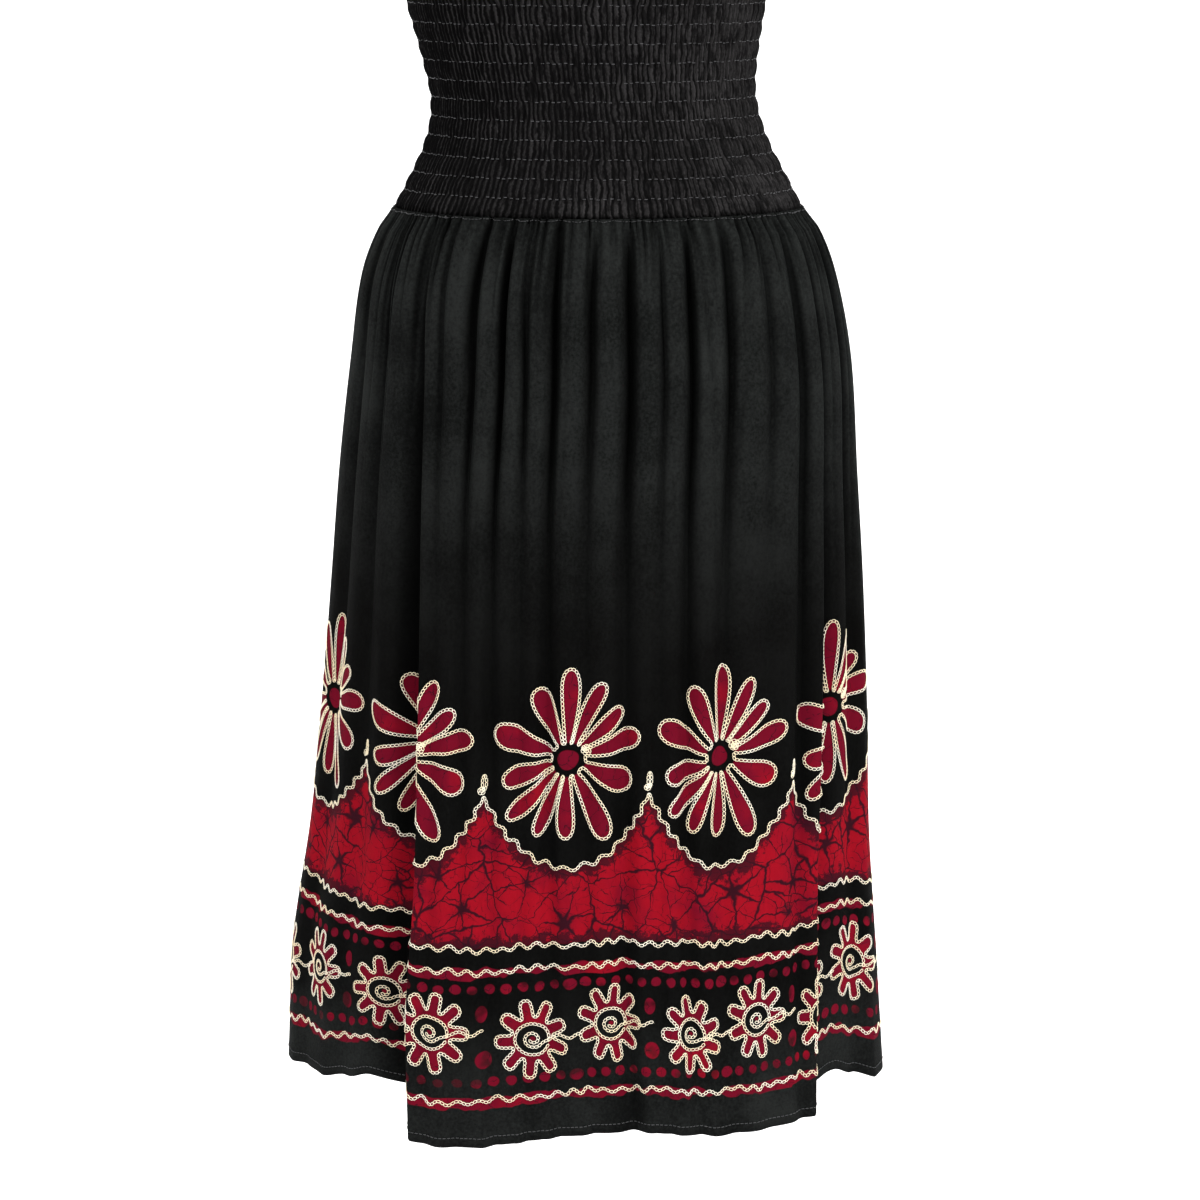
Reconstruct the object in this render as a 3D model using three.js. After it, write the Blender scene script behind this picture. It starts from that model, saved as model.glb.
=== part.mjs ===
// A strapless midi dress: a shirred, elasticated bodice over a skirt that is gathered to it at the hip.
// It keeps the rounded form that it has when it is worn, with nothing inside. The bodice and the skirt
// each have a front and a back panel, joined at side seams. The skirt hangs in folds that follow the
// cloth's grain, with one deep fold on each side of its front and of its back.
// Millimetres, +Z up, front towards -Y, origin at the centre of the waist.
import * as THREE from "three";

// Driving sizes of the garment
const TOP_EDGE = 232; // top edge of the bodice, above the waist
const HIP_SEAM = -74.5; // where the skirt is sewn to the bodice
const HEM = -830; // its lowest level
const SEAM_GAP = 0.3; // between pieces that are sewn to each other

// The bodice: rows of elastic thread gather the cloth into small upright puffs
const BODICE_WALL = 1.8;
const HEADING = 12; // plain frill above the first row of elastic
const ELASTIC_ROWS = 21;
const GATHERS = 24; // puffs across one panel
const PUFF_RISE = 2.9; // crown of a puff above the valleys beside it
const ELASTIC_PINCH = 0.8; // how far a row of elastic draws the cloth in
const LINING_STEP = 2; // rows of elastic between two rings of the plain inner side

// The skirt
const SKIRT_WALL = 1.2;
const HEM_FOLD = 22; // height of the turned-up hem
const HEM_WALL = 2.0; // three layers of cloth
const SEAM_DROP = 2.6; // depth of the gathers where they meet the bodice
const SIDE_SEAM_DROP = 6; // the side seams lie in shallow valleys
const VALLEY_SHARPNESS = 1.35; // above 1, valleys are narrower than the ridges between them
const HIP_LEVEL = -150;
const THIGH_LEVEL = -400;

// Outline of the whole garment: half widths towards -X and +X, and depths to the front and the back
const OUTLINE = [
  { z: -830, left: 272, right: 254, front: 151, back: 154 },
  { z: -725, left: 265, right: 246, front: 148, back: 151 },
  { z: -618, left: 247, right: 237, front: 145, back: 147 },
  { z: -513, left: 235, right: 232, front: 143, back: 144 },
  { z: -400, left: 223, right: 225, front: 141, back: 141 },
  { z: -308, left: 213, right: 218, front: 138, back: 139 },
  { z: -208, left: 200, right: 211, front: 134, back: 134 },
  { z: -135, left: 190, right: 198, front: 129, back: 128 },
  { z: -94, left: 176, right: 184, front: 120, back: 117 },
  { z: -74.5, left: 163, right: 170, front: 112, back: 107 },
  { z: -54, left: 152, right: 159, front: 105, back: 100 },
  { z: -22, left: 137, right: 142, front: 98, back: 91 },
  { z: 10, left: 132, right: 132, front: 95, back: 86 },
  { z: 41, left: 138, right: 132, front: 98, back: 86 },
  { z: 90, left: 151, right: 139, front: 109, back: 89 },
  { z: 150, left: 160, right: 150, front: 122, back: 94 },
  { z: 200, left: 159, right: 153, front: 122, back: 97 },
  { z: 232, left: 155, right: 151, front: 118, back: 97 },
];

// Folds of a skirt panel, one row for each ridge, from one side seam to the other. seam, thigh and low
// are where the ridge stands at the hip seam, at the thigh and at the hem, in degrees round the figure
// from the panel's middle. sit is how far inside the outline it stands at the hem. lift and rise are how
// far the cloth is drawn up there at the thigh and at the hem. lean is where the valley after the ridge
// lies, as a share of the way to the next ridge, and hip, leg and foot are its depth at the hip, at the
// thigh and at the hem.
const FOLDS = [
  { seam: -76, thigh: -75, low: -77, sit: 4, lift: 24, rise: 24, lean: 0.5, hip: 9, leg: 6, foot: 4 },
  { seam: -66, thigh: -63, low: -61, sit: 12, lift: 14, rise: 30, lean: 0.5, hip: 10, leg: 8, foot: 5 },
  { seam: -56, thigh: -50, low: -45, sit: 18, lift: 2, rise: 46, lean: 0.85, hip: 13, leg: 24, foot: 26 },
  { seam: -44.5, thigh: -38.5, low: -33, sit: 0, lift: 0, rise: 2, lean: 0.5, hip: 7, leg: 3, foot: 2 },
  { seam: -36, thigh: -31.5, low: -27, sit: 0, lift: 0, rise: 0, lean: 0.5, hip: 14, leg: 5, foot: 2 },
  { seam: -25, thigh: -25, low: -19, sit: 6, lift: 0, rise: 0, lean: 0.5, hip: 15, leg: 6, foot: 3 },
  { seam: -19, thigh: -18.6, low: -12.5, sit: 12, lift: 1, rise: 3, lean: 0.5, hip: 7, leg: 4, foot: 2 },
  { seam: -14, thigh: -13, low: -7, sit: 16, lift: 2, rise: 6, lean: 0.5, hip: 17, leg: 8, foot: 3 },
  { seam: -4.8, thigh: -6.5, low: -0.5, sit: 18, lift: 3, rise: 9, lean: 0.5, hip: 13, leg: 6, foot: 3 },
  { seam: 3.4, thigh: 2.3, low: 6, sit: 15, lift: 4, rise: 13, lean: 0.5, hip: 16, leg: 9, foot: 8 },
  { seam: 12.7, thigh: 10.5, low: 13, sit: 5, lift: 4, rise: 15, lean: 0.5, hip: 7, leg: 3, foot: 2 },
  { seam: 18.9, thigh: 16, low: 18.5, sit: 0, lift: 4, rise: 13, lean: 0.5, hip: 16, leg: 9, foot: 4 },
  { seam: 28, thigh: 23, low: 25, sit: 2, lift: 2, rise: 9, lean: 0.5, hip: 14, leg: 7, foot: 3 },
  { seam: 41, thigh: 33, low: 33, sit: 4, lift: 3, rise: 9, lean: 0.5, hip: 7, leg: 3, foot: 2 },
  { seam: 50.5, thigh: 44, low: 41, sit: 2, lift: 4, rise: 12, lean: 0.5, hip: 12, leg: 12, foot: 4 },
  { seam: 62, thigh: 55.5, low: 47.4, sit: 0, lift: 4, rise: 14, lean: 0.05, hip: 12, leg: 26, foot: 10 },
  { seam: 71, thigh: 66, low: 58, sit: 20, lift: 24, rise: 40, lean: 0.5, hip: 10, leg: 8, foot: 6 },
  { seam: 80, thigh: 78, low: 76, sit: 8, lift: 24, rise: 22, lean: 0.5, hip: 8, leg: 5, foot: 4 },
];
const SIDE_SEAM = 90; // degrees from the panel's middle
const SIDE_SEAM_LIFT = 22; // how far the cloth is drawn up at the thigh
const SIDE_SEAM_RISE = 20; // and at the hem
const LEFT_SWING = 34; // how far the side towards -X hangs back
const SWING_LEVEL = -500; // it hangs back by all of that from here down

// Rings of the skirt, close together where its shape changes fast
const SKIRT_LEVELS = [-83, -97, -120, -165, -240, -330, -430, -540, -655, -760];

const lerp = THREE.MathUtils.lerp;
const radians = THREE.MathUtils.degToRad;

// A column of a table at any height: a smooth curve through the rows' values
function sizeAt(table, column, z) {
  const last = table.length - 1;
  const found = table.findIndex((row) => row.z > z);
  const above = found < 0 ? last : Math.max(found, 1);
  const below = above - 1;
  const slope = (i) => {
    const from = table[Math.max(i - 1, 0)];
    const to = table[Math.min(i + 1, last)];
    return (to[column] - from[column]) / (to.z - from.z);
  };
  const span = table[above].z - table[below].z;
  const t = (z - table[below].z) / span;
  return (
    table[below][column] * (1 + 2 * t) * (1 - t) ** 2 +
    table[above][column] * t * t * (3 - 2 * t) +
    slope(below) * span * t * (1 - t) ** 2 -
    slope(above) * span * t * t * (1 - t)
  );
}

// A point on the outline, moved inwards by inset. turn is in degrees from the front's middle
function outlinePoint(turn, z, inset) {
  const left = sizeAt(OUTLINE, "left", z);
  const right = sizeAt(OUTLINE, "right", z);
  const sine = Math.sin(radians(turn));
  const cosine = Math.cos(radians(turn));
  const depth = sizeAt(OUTLINE, cosine > 0 ? "front" : "back", z);
  const halfWidth = (left + right) / 2;
  const outwards = new THREE.Vector2(sine / halfWidth, -cosine / depth).normalize();
  const hangsBack =
    THREE.MathUtils.smoothstep(-sine, 0.75, 1) * THREE.MathUtils.smoothstep(-z, -HIP_SEAM, -SWING_LEVEL);
  const onOutline = new THREE.Vector2(
    (right - left) / 2 + halfWidth * sine,
    LEFT_SWING * hangsBack - depth * cosine,
  );
  return onOutline.addScaledVector(outwards, -inset);
}

// Moves each point of a panel's ring towards the figure's middle: square to the ring, or along the
// side seam at its two ends
function movedInwards(points, distance) {
  return points.map((point, i) => {
    const before = points[i - 1];
    const after = points[i + 1];
    if (!before || !after) {
      return new THREE.Vector2(point.x - Math.sign(point.x) * distance, point.y);
    }
    const along = after.clone().sub(before).normalize();
    return new THREE.Vector2(point.x - along.y * distance, point.y + along.x * distance);
  });
}

// Triangles between two runs of corners, each corner with its share of the way along its run
function zip(first, second, triangles) {
  let i = 0;
  let j = 0;
  while (i < first.length - 1 || j < second.length - 1) {
    const nextFirst = i < first.length - 1 ? first[i + 1].share : Infinity;
    const nextSecond = j < second.length - 1 ? second[j + 1].share : Infinity;
    if (nextFirst < nextSecond) {
      triangles.push([first[i].corner, first[i + 1].corner, second[j].corner]);
      i += 1;
    } else {
      triangles.push([first[i].corner, second[j + 1].corner, second[j].corner]);
      j += 1;
    }
  }
}

// A wall from its outer rings and its inner rings, all listed from the top down. Each ring holds the
// corners { share, point } from the panel's first side seam to its other one
function wallGeometry(outerRings, innerRings) {
  const positions = [];
  const triangles = [];
  const numbered = (rings) =>
    rings.map((ring) =>
      ring.map(({ share, point }) => {
        positions.push(point.x, point.y, point.z);
        return { share, corner: positions.length / 3 - 1, height: point.z };
      }),
    );
  const outer = numbered(outerRings);
  const inner = numbered(innerRings);
  outer.slice(1).forEach((ring, i) => zip(ring, outer[i], triangles));
  inner.slice(1).forEach((ring, i) => zip(inner[i], ring, triangles));
  zip(outer[0], inner[0], triangles);
  zip(inner.at(-1), outer.at(-1), triangles);
  const edge = (rings, end) =>
    rings.map((ring) => ({ share: -ring.at(end).height, corner: ring.at(end).corner }));
  zip(edge(inner, 0), edge(outer, 0), triangles);
  zip(edge(outer, -1), edge(inner, -1), triangles);
  const geometry = new THREE.BufferGeometry();
  geometry.setAttribute("position", new THREE.Float32BufferAttribute(positions, 3));
  geometry.setIndex(triangles.flat());
  geometry.computeVertexNormals();
  return geometry;
}

// Turn of a corner on a bodice panel. It stops short of the side seams by half the seam's gap
function bodiceTurn(share, z) {
  const halfWidth = sizeAt(OUTLINE, "left", z) / 2 + sizeAt(OUTLINE, "right", z) / 2;
  const depth = (sizeAt(OUTLINE, "front", z) + sizeAt(OUTLINE, "back", z)) / 2;
  const halfGap = THREE.MathUtils.radToDeg(SEAM_GAP / 2 / Math.min(depth, halfWidth));
  return lerp(halfGap - SIDE_SEAM, SIDE_SEAM - halfGap, share);
}

// A shirred panel. facing is 0 for the front and 180 for the back
function bodicePanel(facing) {
  const bottom = HIP_SEAM + SEAM_GAP / 2;
  const firstRow = TOP_EDGE - HEADING;
  const pitch = (firstRow - bottom) / (ELASTIC_ROWS - 1);
  const corner = (share, z, inset) => {
    const flat = outlinePoint(facing + bodiceTurn(share, z), z, PUFF_RISE + inset);
    return { share, point: new THREE.Vector3(flat.x, flat.y, z) };
  };
  const plainRing = (z, inset) =>
    Array.from({ length: GATHERS + 1 }, (_, i) => corner(i / GATHERS, z, inset));
  const puffedRing = (z) =>
    Array.from({ length: 2 * GATHERS + 1 }, (_, i) =>
      corner(i / (2 * GATHERS), z, i % 2 ? -PUFF_RISE : 0),
    );
  const outer = [puffedRing(TOP_EDGE)];
  const inner = [plainRing(TOP_EDGE, ELASTIC_PINCH + BODICE_WALL)];
  for (let row = 0; row < ELASTIC_ROWS; row += 1) {
    const z = firstRow - row * pitch;
    outer.push(plainRing(z, ELASTIC_PINCH));
    if (row < ELASTIC_ROWS - 1) outer.push(puffedRing(z - pitch / 2));
    if (row % LINING_STEP === 0) inner.push(plainRing(z, ELASTIC_PINCH + BODICE_WALL));
  }
  return wallGeometry(outer, inner);
}

const smoothStep = (t) => THREE.MathUtils.smoothstep(t, 0, 1);

// Depth of the valley after a ridge, at any height
function dropAt(fold, z) {
  if (z > HIP_LEVEL) {
    const t = (z - HIP_LEVEL) / (HIP_SEAM - HIP_LEVEL);
    return lerp(fold.hip, SEAM_DROP, t ** 3);
  }
  if (z > THIGH_LEVEL) {
    return lerp(fold.hip, fold.leg, smoothStep((z - HIP_LEVEL) / (THIGH_LEVEL - HIP_LEVEL)));
  }
  return lerp(fold.leg, fold.foot, smoothStep((z - THIGH_LEVEL) / (HEM - THIGH_LEVEL)));
}

// A parabola through its values at the hip seam, at the thigh and at the hem
function throughLevels(atSeam, atThigh, atHem, z) {
  const reach = (z - HIP_SEAM) / (HEM - HIP_SEAM);
  const middle = (THIGH_LEVEL - HIP_SEAM) / (HEM - HIP_SEAM);
  return (
    (atSeam * (reach - middle) * (reach - 1)) / middle +
    (atThigh * reach * (reach - 1)) / (middle * (middle - 1)) +
    (atHem * reach * (reach - middle)) / (1 - middle)
  );
}

// The skirt's ridges and valleys at one height, in order, as { turn, inset, rise, valley }. A valley
// is drawn up like the ridge that it lies farther from
function foldLines(z) {
  const hang = ((z - HIP_SEAM) / (HEM - HIP_SEAM)) ** 2;
  const halfGap = THREE.MathUtils.radToDeg(SEAM_GAP / 2 / sizeAt(OUTLINE, "front", z));
  const seamDrop = lerp(SIDE_SEAM_DROP, SEAM_DROP, smoothStep((z - HIP_LEVEL) / (HIP_SEAM - HIP_LEVEL)));
  const seamRise = throughLevels(0, SIDE_SEAM_LIFT, SIDE_SEAM_RISE, z);
  const seam = { inset: seamDrop, rise: seamRise, valley: true };
  const turnAt = (fold) => throughLevels(fold.seam, fold.thigh, fold.low, z);
  const riseAt = (fold) => throughLevels(0, fold.lift, fold.rise, z);
  const lines = [{ ...seam, turn: halfGap - SIDE_SEAM }];
  FOLDS.forEach((fold, i) => {
    const next = FOLDS[i + 1];
    lines.push({ turn: turnAt(fold), inset: fold.sit * hang, rise: riseAt(fold), valley: false });
    if (!next) return;
    lines.push({
      turn: lerp(turnAt(fold), turnAt(next), fold.lean),
      inset: lerp(fold.sit, next.sit, fold.lean) * hang + dropAt(fold, z),
      rise: lerp(riseAt(next), riseAt(fold), fold.lean),
      valley: true,
    });
  });
  lines.push({ ...seam, turn: SIDE_SEAM - halfGap });
  return lines;
}

// One ring of a skirt panel, for the wall's outer or inner side: each fold line, and a point half way
// to the next one
function skirtRing(facing, z, depth) {
  const lines = foldLines(z);
  const points = [];
  const rises = [];
  lines.forEach((line, i) => {
    points.push(outlinePoint(facing + line.turn, z, line.inset));
    rises.push(line.rise);
    const next = lines[i + 1];
    if (!next) return;
    const towardsValley = 0.5 ** VALLEY_SHARPNESS;
    const inset = lerp(line.inset, next.inset, next.valley ? towardsValley : 1 - towardsValley);
    points.push(outlinePoint(facing + (line.turn + next.turn) / 2, z, inset));
    rises.push((line.rise + next.rise) / 2);
  });
  return movedInwards(points, depth).map((point, i) => ({
    share: i / (points.length - 1),
    point: new THREE.Vector3(point.x, point.y, z + rises[i]),
  }));
}

// A gathered panel with a turned-up hem, thicker than the cloth above it
function skirtPanel(facing) {
  const hemTop = HEM + HEM_FOLD;
  const levels = [HIP_SEAM - SEAM_GAP / 2, ...SKIRT_LEVELS, hemTop + 1, hemTop, HEM];
  const outer = levels.map((z) => skirtRing(facing, z, 0));
  const inner = levels.map((z) => skirtRing(facing, z, z > hemTop ? SKIRT_WALL : HEM_WALL));
  return wallGeometry(outer, inner);
}

function piece(name, geometry, colour) {
  const cloth = new THREE.MeshStandardMaterial({ color: colour, roughness: 0.85, metalness: 0 });
  const mesh = new THREE.Mesh(geometry, cloth);
  mesh.name = name;
  return mesh;
}

const FRONT = 0;
const BACK = 180;
const SHIRRED_BLACK = 0x1b1a1b;
const SKIRT_BLACK = 0x1c1d1e;

const dress = new THREE.Group();
dress.add(
  piece("bodice_front", bodicePanel(FRONT), SHIRRED_BLACK),
  piece("bodice_back", bodicePanel(BACK), SHIRRED_BLACK),
  piece("skirt_front", skirtPanel(FRONT), SKIRT_BLACK),
  piece("skirt_back", skirtPanel(BACK), SKIRT_BLACK),
);

export default dress;
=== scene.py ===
"""A strapless midi dress with a shirred bodice, a gathered skirt and an embroidered batik border.

Each panel of cloth is a fine shell on the form of its CAD solid. The border is printed by its
material and embroidered with chain stitches that follow the same motifs.
"""

import math

import bmesh
import bpy
import numpy as np
from bpy.props import FloatProperty, FloatVectorProperty, IntProperty, PointerProperty
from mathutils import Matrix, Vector


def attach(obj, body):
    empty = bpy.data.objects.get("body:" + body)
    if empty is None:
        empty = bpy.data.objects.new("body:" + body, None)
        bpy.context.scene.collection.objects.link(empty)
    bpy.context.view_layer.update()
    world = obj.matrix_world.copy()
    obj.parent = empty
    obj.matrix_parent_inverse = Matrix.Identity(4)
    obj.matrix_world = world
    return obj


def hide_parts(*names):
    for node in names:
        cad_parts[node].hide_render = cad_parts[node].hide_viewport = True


bl_info = {
    "name": "Embroidered midi dress",
    "version": (1, 0, 0),
    "blender": (4, 5, 0),
    "location": "3D view > Sidebar > Dress",
    "description": "Makes a strapless midi dress with a shirred bodice and an embroidered border",
    "category": "Add Mesh",
}

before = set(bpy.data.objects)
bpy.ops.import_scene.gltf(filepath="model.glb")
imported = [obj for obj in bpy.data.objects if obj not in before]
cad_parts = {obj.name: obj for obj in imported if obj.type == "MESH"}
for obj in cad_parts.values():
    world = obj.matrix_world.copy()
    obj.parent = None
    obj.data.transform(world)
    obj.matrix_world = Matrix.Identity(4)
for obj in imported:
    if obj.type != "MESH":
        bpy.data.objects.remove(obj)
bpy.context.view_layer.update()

MM = 0.001
FRONT = 0.0
BACK = 180.0
FACINGS = {"front": FRONT, "back": BACK}
BODY = "root"

# The form that the dress has when it is worn, in millimetres. These are heights above its waist
TOP_EDGE = 232.0
HIP_SEAM = -74.5
HIP_LEVEL = -150.0
THIGH_LEVEL = -400.0
HEM = -830.0

# The skirt's side towards -X hangs back: how far, from which share of the half width on, and the
# level below which it does so in full
LEFT_SWING = 34.0
SWING_START = 0.75
SWING_LEVEL = -500.0

# Side seams: their turn from a panel's middle in degrees, how far the cloth is drawn up there at the
# thigh and at the hem, and how far they lie inside the outline
SIDE_SEAM = 90.0
SIDE_SEAM_LIFT = 22.0
SIDE_SEAM_RISE = 20.0
SIDE_SEAM_DROP = 6.0

# Valleys between folds: their depth at the hip seam, and how sharp they are. From GATHER_REACH up to
# HIP_LEVEL they narrow to creases, whose sides follow the two powers that are given last
SEAM_DROP = 2.6
VALLEY_SHARPNESS = 1.35
GATHER_REACH = -560.0
CREASE_BEFORE_RIDGE = 6.0
CREASE_AFTER_RIDGE = 2.4

# The bodice: height of the frill above the first row of elastic, and the number of rows
HEADING = 12.0
ELASTIC_ROWS = 21


def table(columns, rows):
    """A table with named columns, each one an array."""
    return dict(zip(columns, np.array(rows, dtype=float).T))


# Outline of the whole dress: half widths towards -X and +X, depths to the front and to the back
OUTLINE = table(
    ("z", "left", "right", "front", "back"),
    [
        (-830, 272, 254, 151, 154),
        (-725, 265, 246, 148, 151),
        (-618, 247, 237, 145, 147),
        (-513, 235, 232, 143, 144),
        (-400, 223, 225, 141, 141),
        (-308, 213, 218, 138, 139),
        (-208, 200, 211, 134, 134),
        (-135, 190, 198, 129, 128),
        (-94, 176, 184, 120, 117),
        (-74.5, 163, 170, 112, 107),
        (-54, 152, 159, 105, 100),
        (-22, 137, 142, 98, 91),
        (10, 132, 132, 95, 86),
        (41, 138, 132, 98, 86),
        (90, 151, 139, 109, 89),
        (150, 160, 150, 122, 94),
        (200, 159, 153, 122, 97),
        (232, 155, 151, 118, 97),
    ],
)

# Ridges of a skirt panel's folds. seam, thigh and low are where a ridge stands at the hip seam, at
# the thigh and at the hem, in degrees from the panel's middle. sit is how far inside the outline it
# stands at the hem. lift and rise are how far the cloth is drawn up there at the thigh and at the hem.
# lean is where the valley after it lies, as a share of the way to the next ridge. hip, leg and foot are
# that valley's depth at the hip, at the thigh and at the hem.
FOLDS = table(
    ("seam", "thigh", "low", "sit", "lift", "rise", "lean", "hip", "leg", "foot"),
    [
        (-76, -75, -77, 4, 24, 24, 0.5, 9, 6, 4),
        (-66, -63, -61, 12, 14, 30, 0.5, 10, 8, 5),
        (-56, -50, -45, 18, 2, 46, 0.85, 13, 24, 26),
        (-44.5, -38.5, -33, 0, 0, 2, 0.5, 7, 3, 2),
        (-36, -31.5, -27, 0, 0, 0, 0.5, 14, 5, 2),
        (-25, -25, -19, 6, 0, 0, 0.5, 15, 6, 3),
        (-19, -18.6, -12.5, 12, 1, 3, 0.5, 7, 4, 2),
        (-14, -13, -7, 16, 2, 6, 0.5, 17, 8, 3),
        (-4.8, -6.5, -0.5, 18, 3, 9, 0.5, 13, 6, 3),
        (3.4, 2.3, 6, 15, 4, 13, 0.5, 16, 9, 8),
        (12.7, 10.5, 13, 5, 4, 15, 0.5, 7, 3, 2),
        (18.9, 16, 18.5, 0, 4, 13, 0.5, 16, 9, 4),
        (28, 23, 25, 2, 2, 9, 0.5, 14, 7, 3),
        (41, 33, 33, 4, 3, 9, 0.5, 7, 3, 2),
        (50.5, 44, 41, 2, 4, 12, 0.5, 12, 12, 4),
        (62, 55.5, 47.4, 0, 4, 14, 0.05, 12, 26, 10),
        (71, 66, 58, 20, 24, 40, 0.5, 10, 8, 6),
        (80, 78, 76, 8, 24, 22, 0.5, 8, 5, 4),
    ],
)
RIDGES = len(FOLDS["seam"])
FOLD_LINES = 2 * RIDGES + 1


# Sizes and colours that a user would change


class SkirtSettings(bpy.types.PropertyGroup):
    """The skirt's cloth."""

    panel_width: FloatProperty(
        name="Panel width", description="Width that a skirt panel was cut to", default=0.71, unit="LENGTH"
    )
    cloth_thickness: FloatProperty(
        name="Cloth thickness", description="Thickness of the skirt's shell", default=0.0011, unit="LENGTH"
    )
    columns: IntProperty(name="Columns", description="Faces across a skirt panel", default=396, min=40)
    rows: IntProperty(name="Rows", description="Faces down a skirt panel", default=90, min=20)
    gathers: IntProperty(name="Gathers", description="Small gathers along a panel's hip seam", default=74)
    colour: FloatVectorProperty(
        name="Cloth colour",
        description="Black of the skirt's cloth",
        subtype="COLOR",
        size=3,
        min=0,
        max=1,
        default=(0.0073, 0.0080, 0.0076),
    )


class BodiceSettings(bpy.types.PropertyGroup):
    """The shirred bodice."""

    cut_width: FloatProperty(
        name="Cut width", description="Width that a bodice panel was cut to", default=0.6, unit="LENGTH"
    )
    cloth_thickness: FloatProperty(
        name="Cloth thickness", description="Thickness of the bodice's shell", default=0.0012, unit="LENGTH"
    )
    puckers: IntProperty(name="Puckers", description="Upright puckers across a bodice panel", default=92)
    pucker_columns: IntProperty(name="Pucker columns", description="Faces across one pucker", default=5)
    row_faces: IntProperty(name="Row faces", description="Faces between two rows of elastic", default=3)
    colour: FloatVectorProperty(
        name="Cloth colour",
        description="Black of the bodice's cloth",
        subtype="COLOR",
        size=3,
        min=0,
        max=1,
        default=(0.0158, 0.0149, 0.0151),
    )
    thread_colour: FloatVectorProperty(
        name="Elastic colour",
        description="Grey of the elastic thread",
        subtype="COLOR",
        size=3,
        min=0,
        max=1,
        default=(0.055, 0.054, 0.058),
    )


class BorderSettings(bpy.types.PropertyGroup):
    """The batik print and its embroidery."""

    repeats: IntProperty(name="Repeats", description="Flowers across a skirt panel", default=5)
    shift: FloatProperty(
        name="Shift", description="How far the border is moved round the skirt", default=-0.009, unit="LENGTH"
    )
    dye: FloatVectorProperty(
        name="Red dye",
        description="Red of the print",
        subtype="COLOR",
        size=3,
        min=0,
        max=1,
        default=(0.262, 0.0036, 0.0104),
    )
    stitch_length: FloatProperty(
        name="Stitch length", description="Length of one chain stitch", default=0.0034, unit="LENGTH"
    )
    stitch_width: FloatProperty(
        name="Stitch width", description="Width of the embroidered chain", default=0.0029, unit="LENGTH"
    )
    yarn: FloatProperty(name="Yarn", description="Thickness of the yarn", default=0.00068, unit="LENGTH")
    yarn_colour: FloatVectorProperty(
        name="Yarn colour",
        description="Cream of the embroidery yarn",
        subtype="COLOR",
        size=3,
        min=0,
        max=1,
        default=(1.0, 0.86, 0.59),
    )


class StageSettings(bpy.types.PropertyGroup):
    """Floor, lights and camera."""

    camera_side: FloatProperty(
        name="Camera side", description="To the dress's left of its middle", default=0.005, unit="LENGTH"
    )
    camera_distance: FloatProperty(
        name="Camera distance", description="From the dress's middle", default=2.5, unit="LENGTH"
    )
    camera_height: FloatProperty(
        name="Camera height", description="Above the waist", default=0.166, unit="LENGTH"
    )
    camera_tilt: FloatProperty(
        name="Camera tilt", description="Below the level", default=math.radians(12.78), subtype="ANGLE"
    )
    focal_length: FloatProperty(
        name="Focal length", description="Of the camera, in mm", default=92.58, unit="CAMERA"
    )
    floor_level: FloatProperty(
        name="Floor level", description="Of the floor below the waist", default=-1.04, unit="LENGTH"
    )


# The form of the cloth. Every size in this section is in millimetres. Sines of unlike pace make each
# gather, crease and pucker a little unlike the next


def size_at(column, z):
    """A column of the outline at each height: a smooth curve through the rows' values."""
    heights, values = OUTLINE["z"], OUTLINE[column]
    last = len(heights) - 1
    above = np.clip(np.searchsorted(heights, z, side="right"), 1, last)
    below = above - 1
    slopes = np.empty(last + 1)
    for i in range(last + 1):
        before, after = max(i - 1, 0), min(i + 1, last)
        slopes[i] = (values[after] - values[before]) / (heights[after] - heights[before])
    span = heights[above] - heights[below]
    t = (z - heights[below]) / span
    return (
        values[below] * (1 + 2 * t) * (1 - t) ** 2
        + values[above] * t * t * (3 - 2 * t)
        + slopes[below] * span * t * (1 - t) ** 2
        - slopes[above] * span * t * t * (1 - t)
    )


def outline_point(turn, z, inset):
    """x and y of points on the outline, moved inwards. turn is in degrees from the front's middle."""
    left, right = size_at("left", z), size_at("right", z)
    sideways, forwards = np.sin(np.radians(turn)), np.cos(np.radians(turn))
    depth = np.where(forwards > 0, size_at("front", z), size_at("back", z))
    half_width = (left + right) / 2
    out_x, out_y = sideways / half_width, -forwards / depth
    length = np.hypot(out_x, out_y)
    leftmost = smooth_step((-sideways - SWING_START) / (1 - SWING_START))
    hangs_back = leftmost * smooth_step((HIP_SEAM - z) / (HIP_SEAM - SWING_LEVEL))
    x = (right - left) / 2 + half_width * sideways - inset * out_x / length
    y = LEFT_SWING * hangs_back - depth * forwards - inset * out_y / length
    return x, y


def sine(angle):
    """Sine of a number, an array or a wire of a node tree."""
    return angle.sin() if isinstance(angle, Wire) else np.sin(angle)


def squashed(value):
    """Hyperbolic tangent of a number, an array or a wire."""
    return value.math("TANH") if isinstance(value, Wire) else np.tanh(value)


def root(value):
    """Square root of a number, an array or a wire."""
    return value.sqrt() if isinstance(value, Wire) else np.sqrt(value)


def at_least_zero(value):
    """A number, an array or a wire, with 0 in place of what is below 0."""
    return value.greater(0.0) if isinstance(value, Wire) else np.maximum(value, 0.0)


def smooth_step(t):
    """0 below 0 and 1 above 1, with a smooth way between."""
    t = np.clip(t, 0, 1)
    return t * t * (3 - 2 * t)


def mix(a, b, share):
    """What lies a share of the way from a to b."""
    return a + (b - a) * share


def through_levels(at_seam, at_thigh, at_hem, z):
    """A parabola through its values at the hip seam, at the thigh and at the hem."""
    reach = (z - HIP_SEAM) / (HEM - HIP_SEAM)
    middle = (THIGH_LEVEL - HIP_SEAM) / (HEM - HIP_SEAM)
    return (
        at_seam * (reach - middle) * (reach - 1) / middle
        + at_thigh * reach * (reach - 1) / (middle * (middle - 1))
        + at_hem * reach * (reach - middle) / (1 - middle)
    )


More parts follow.
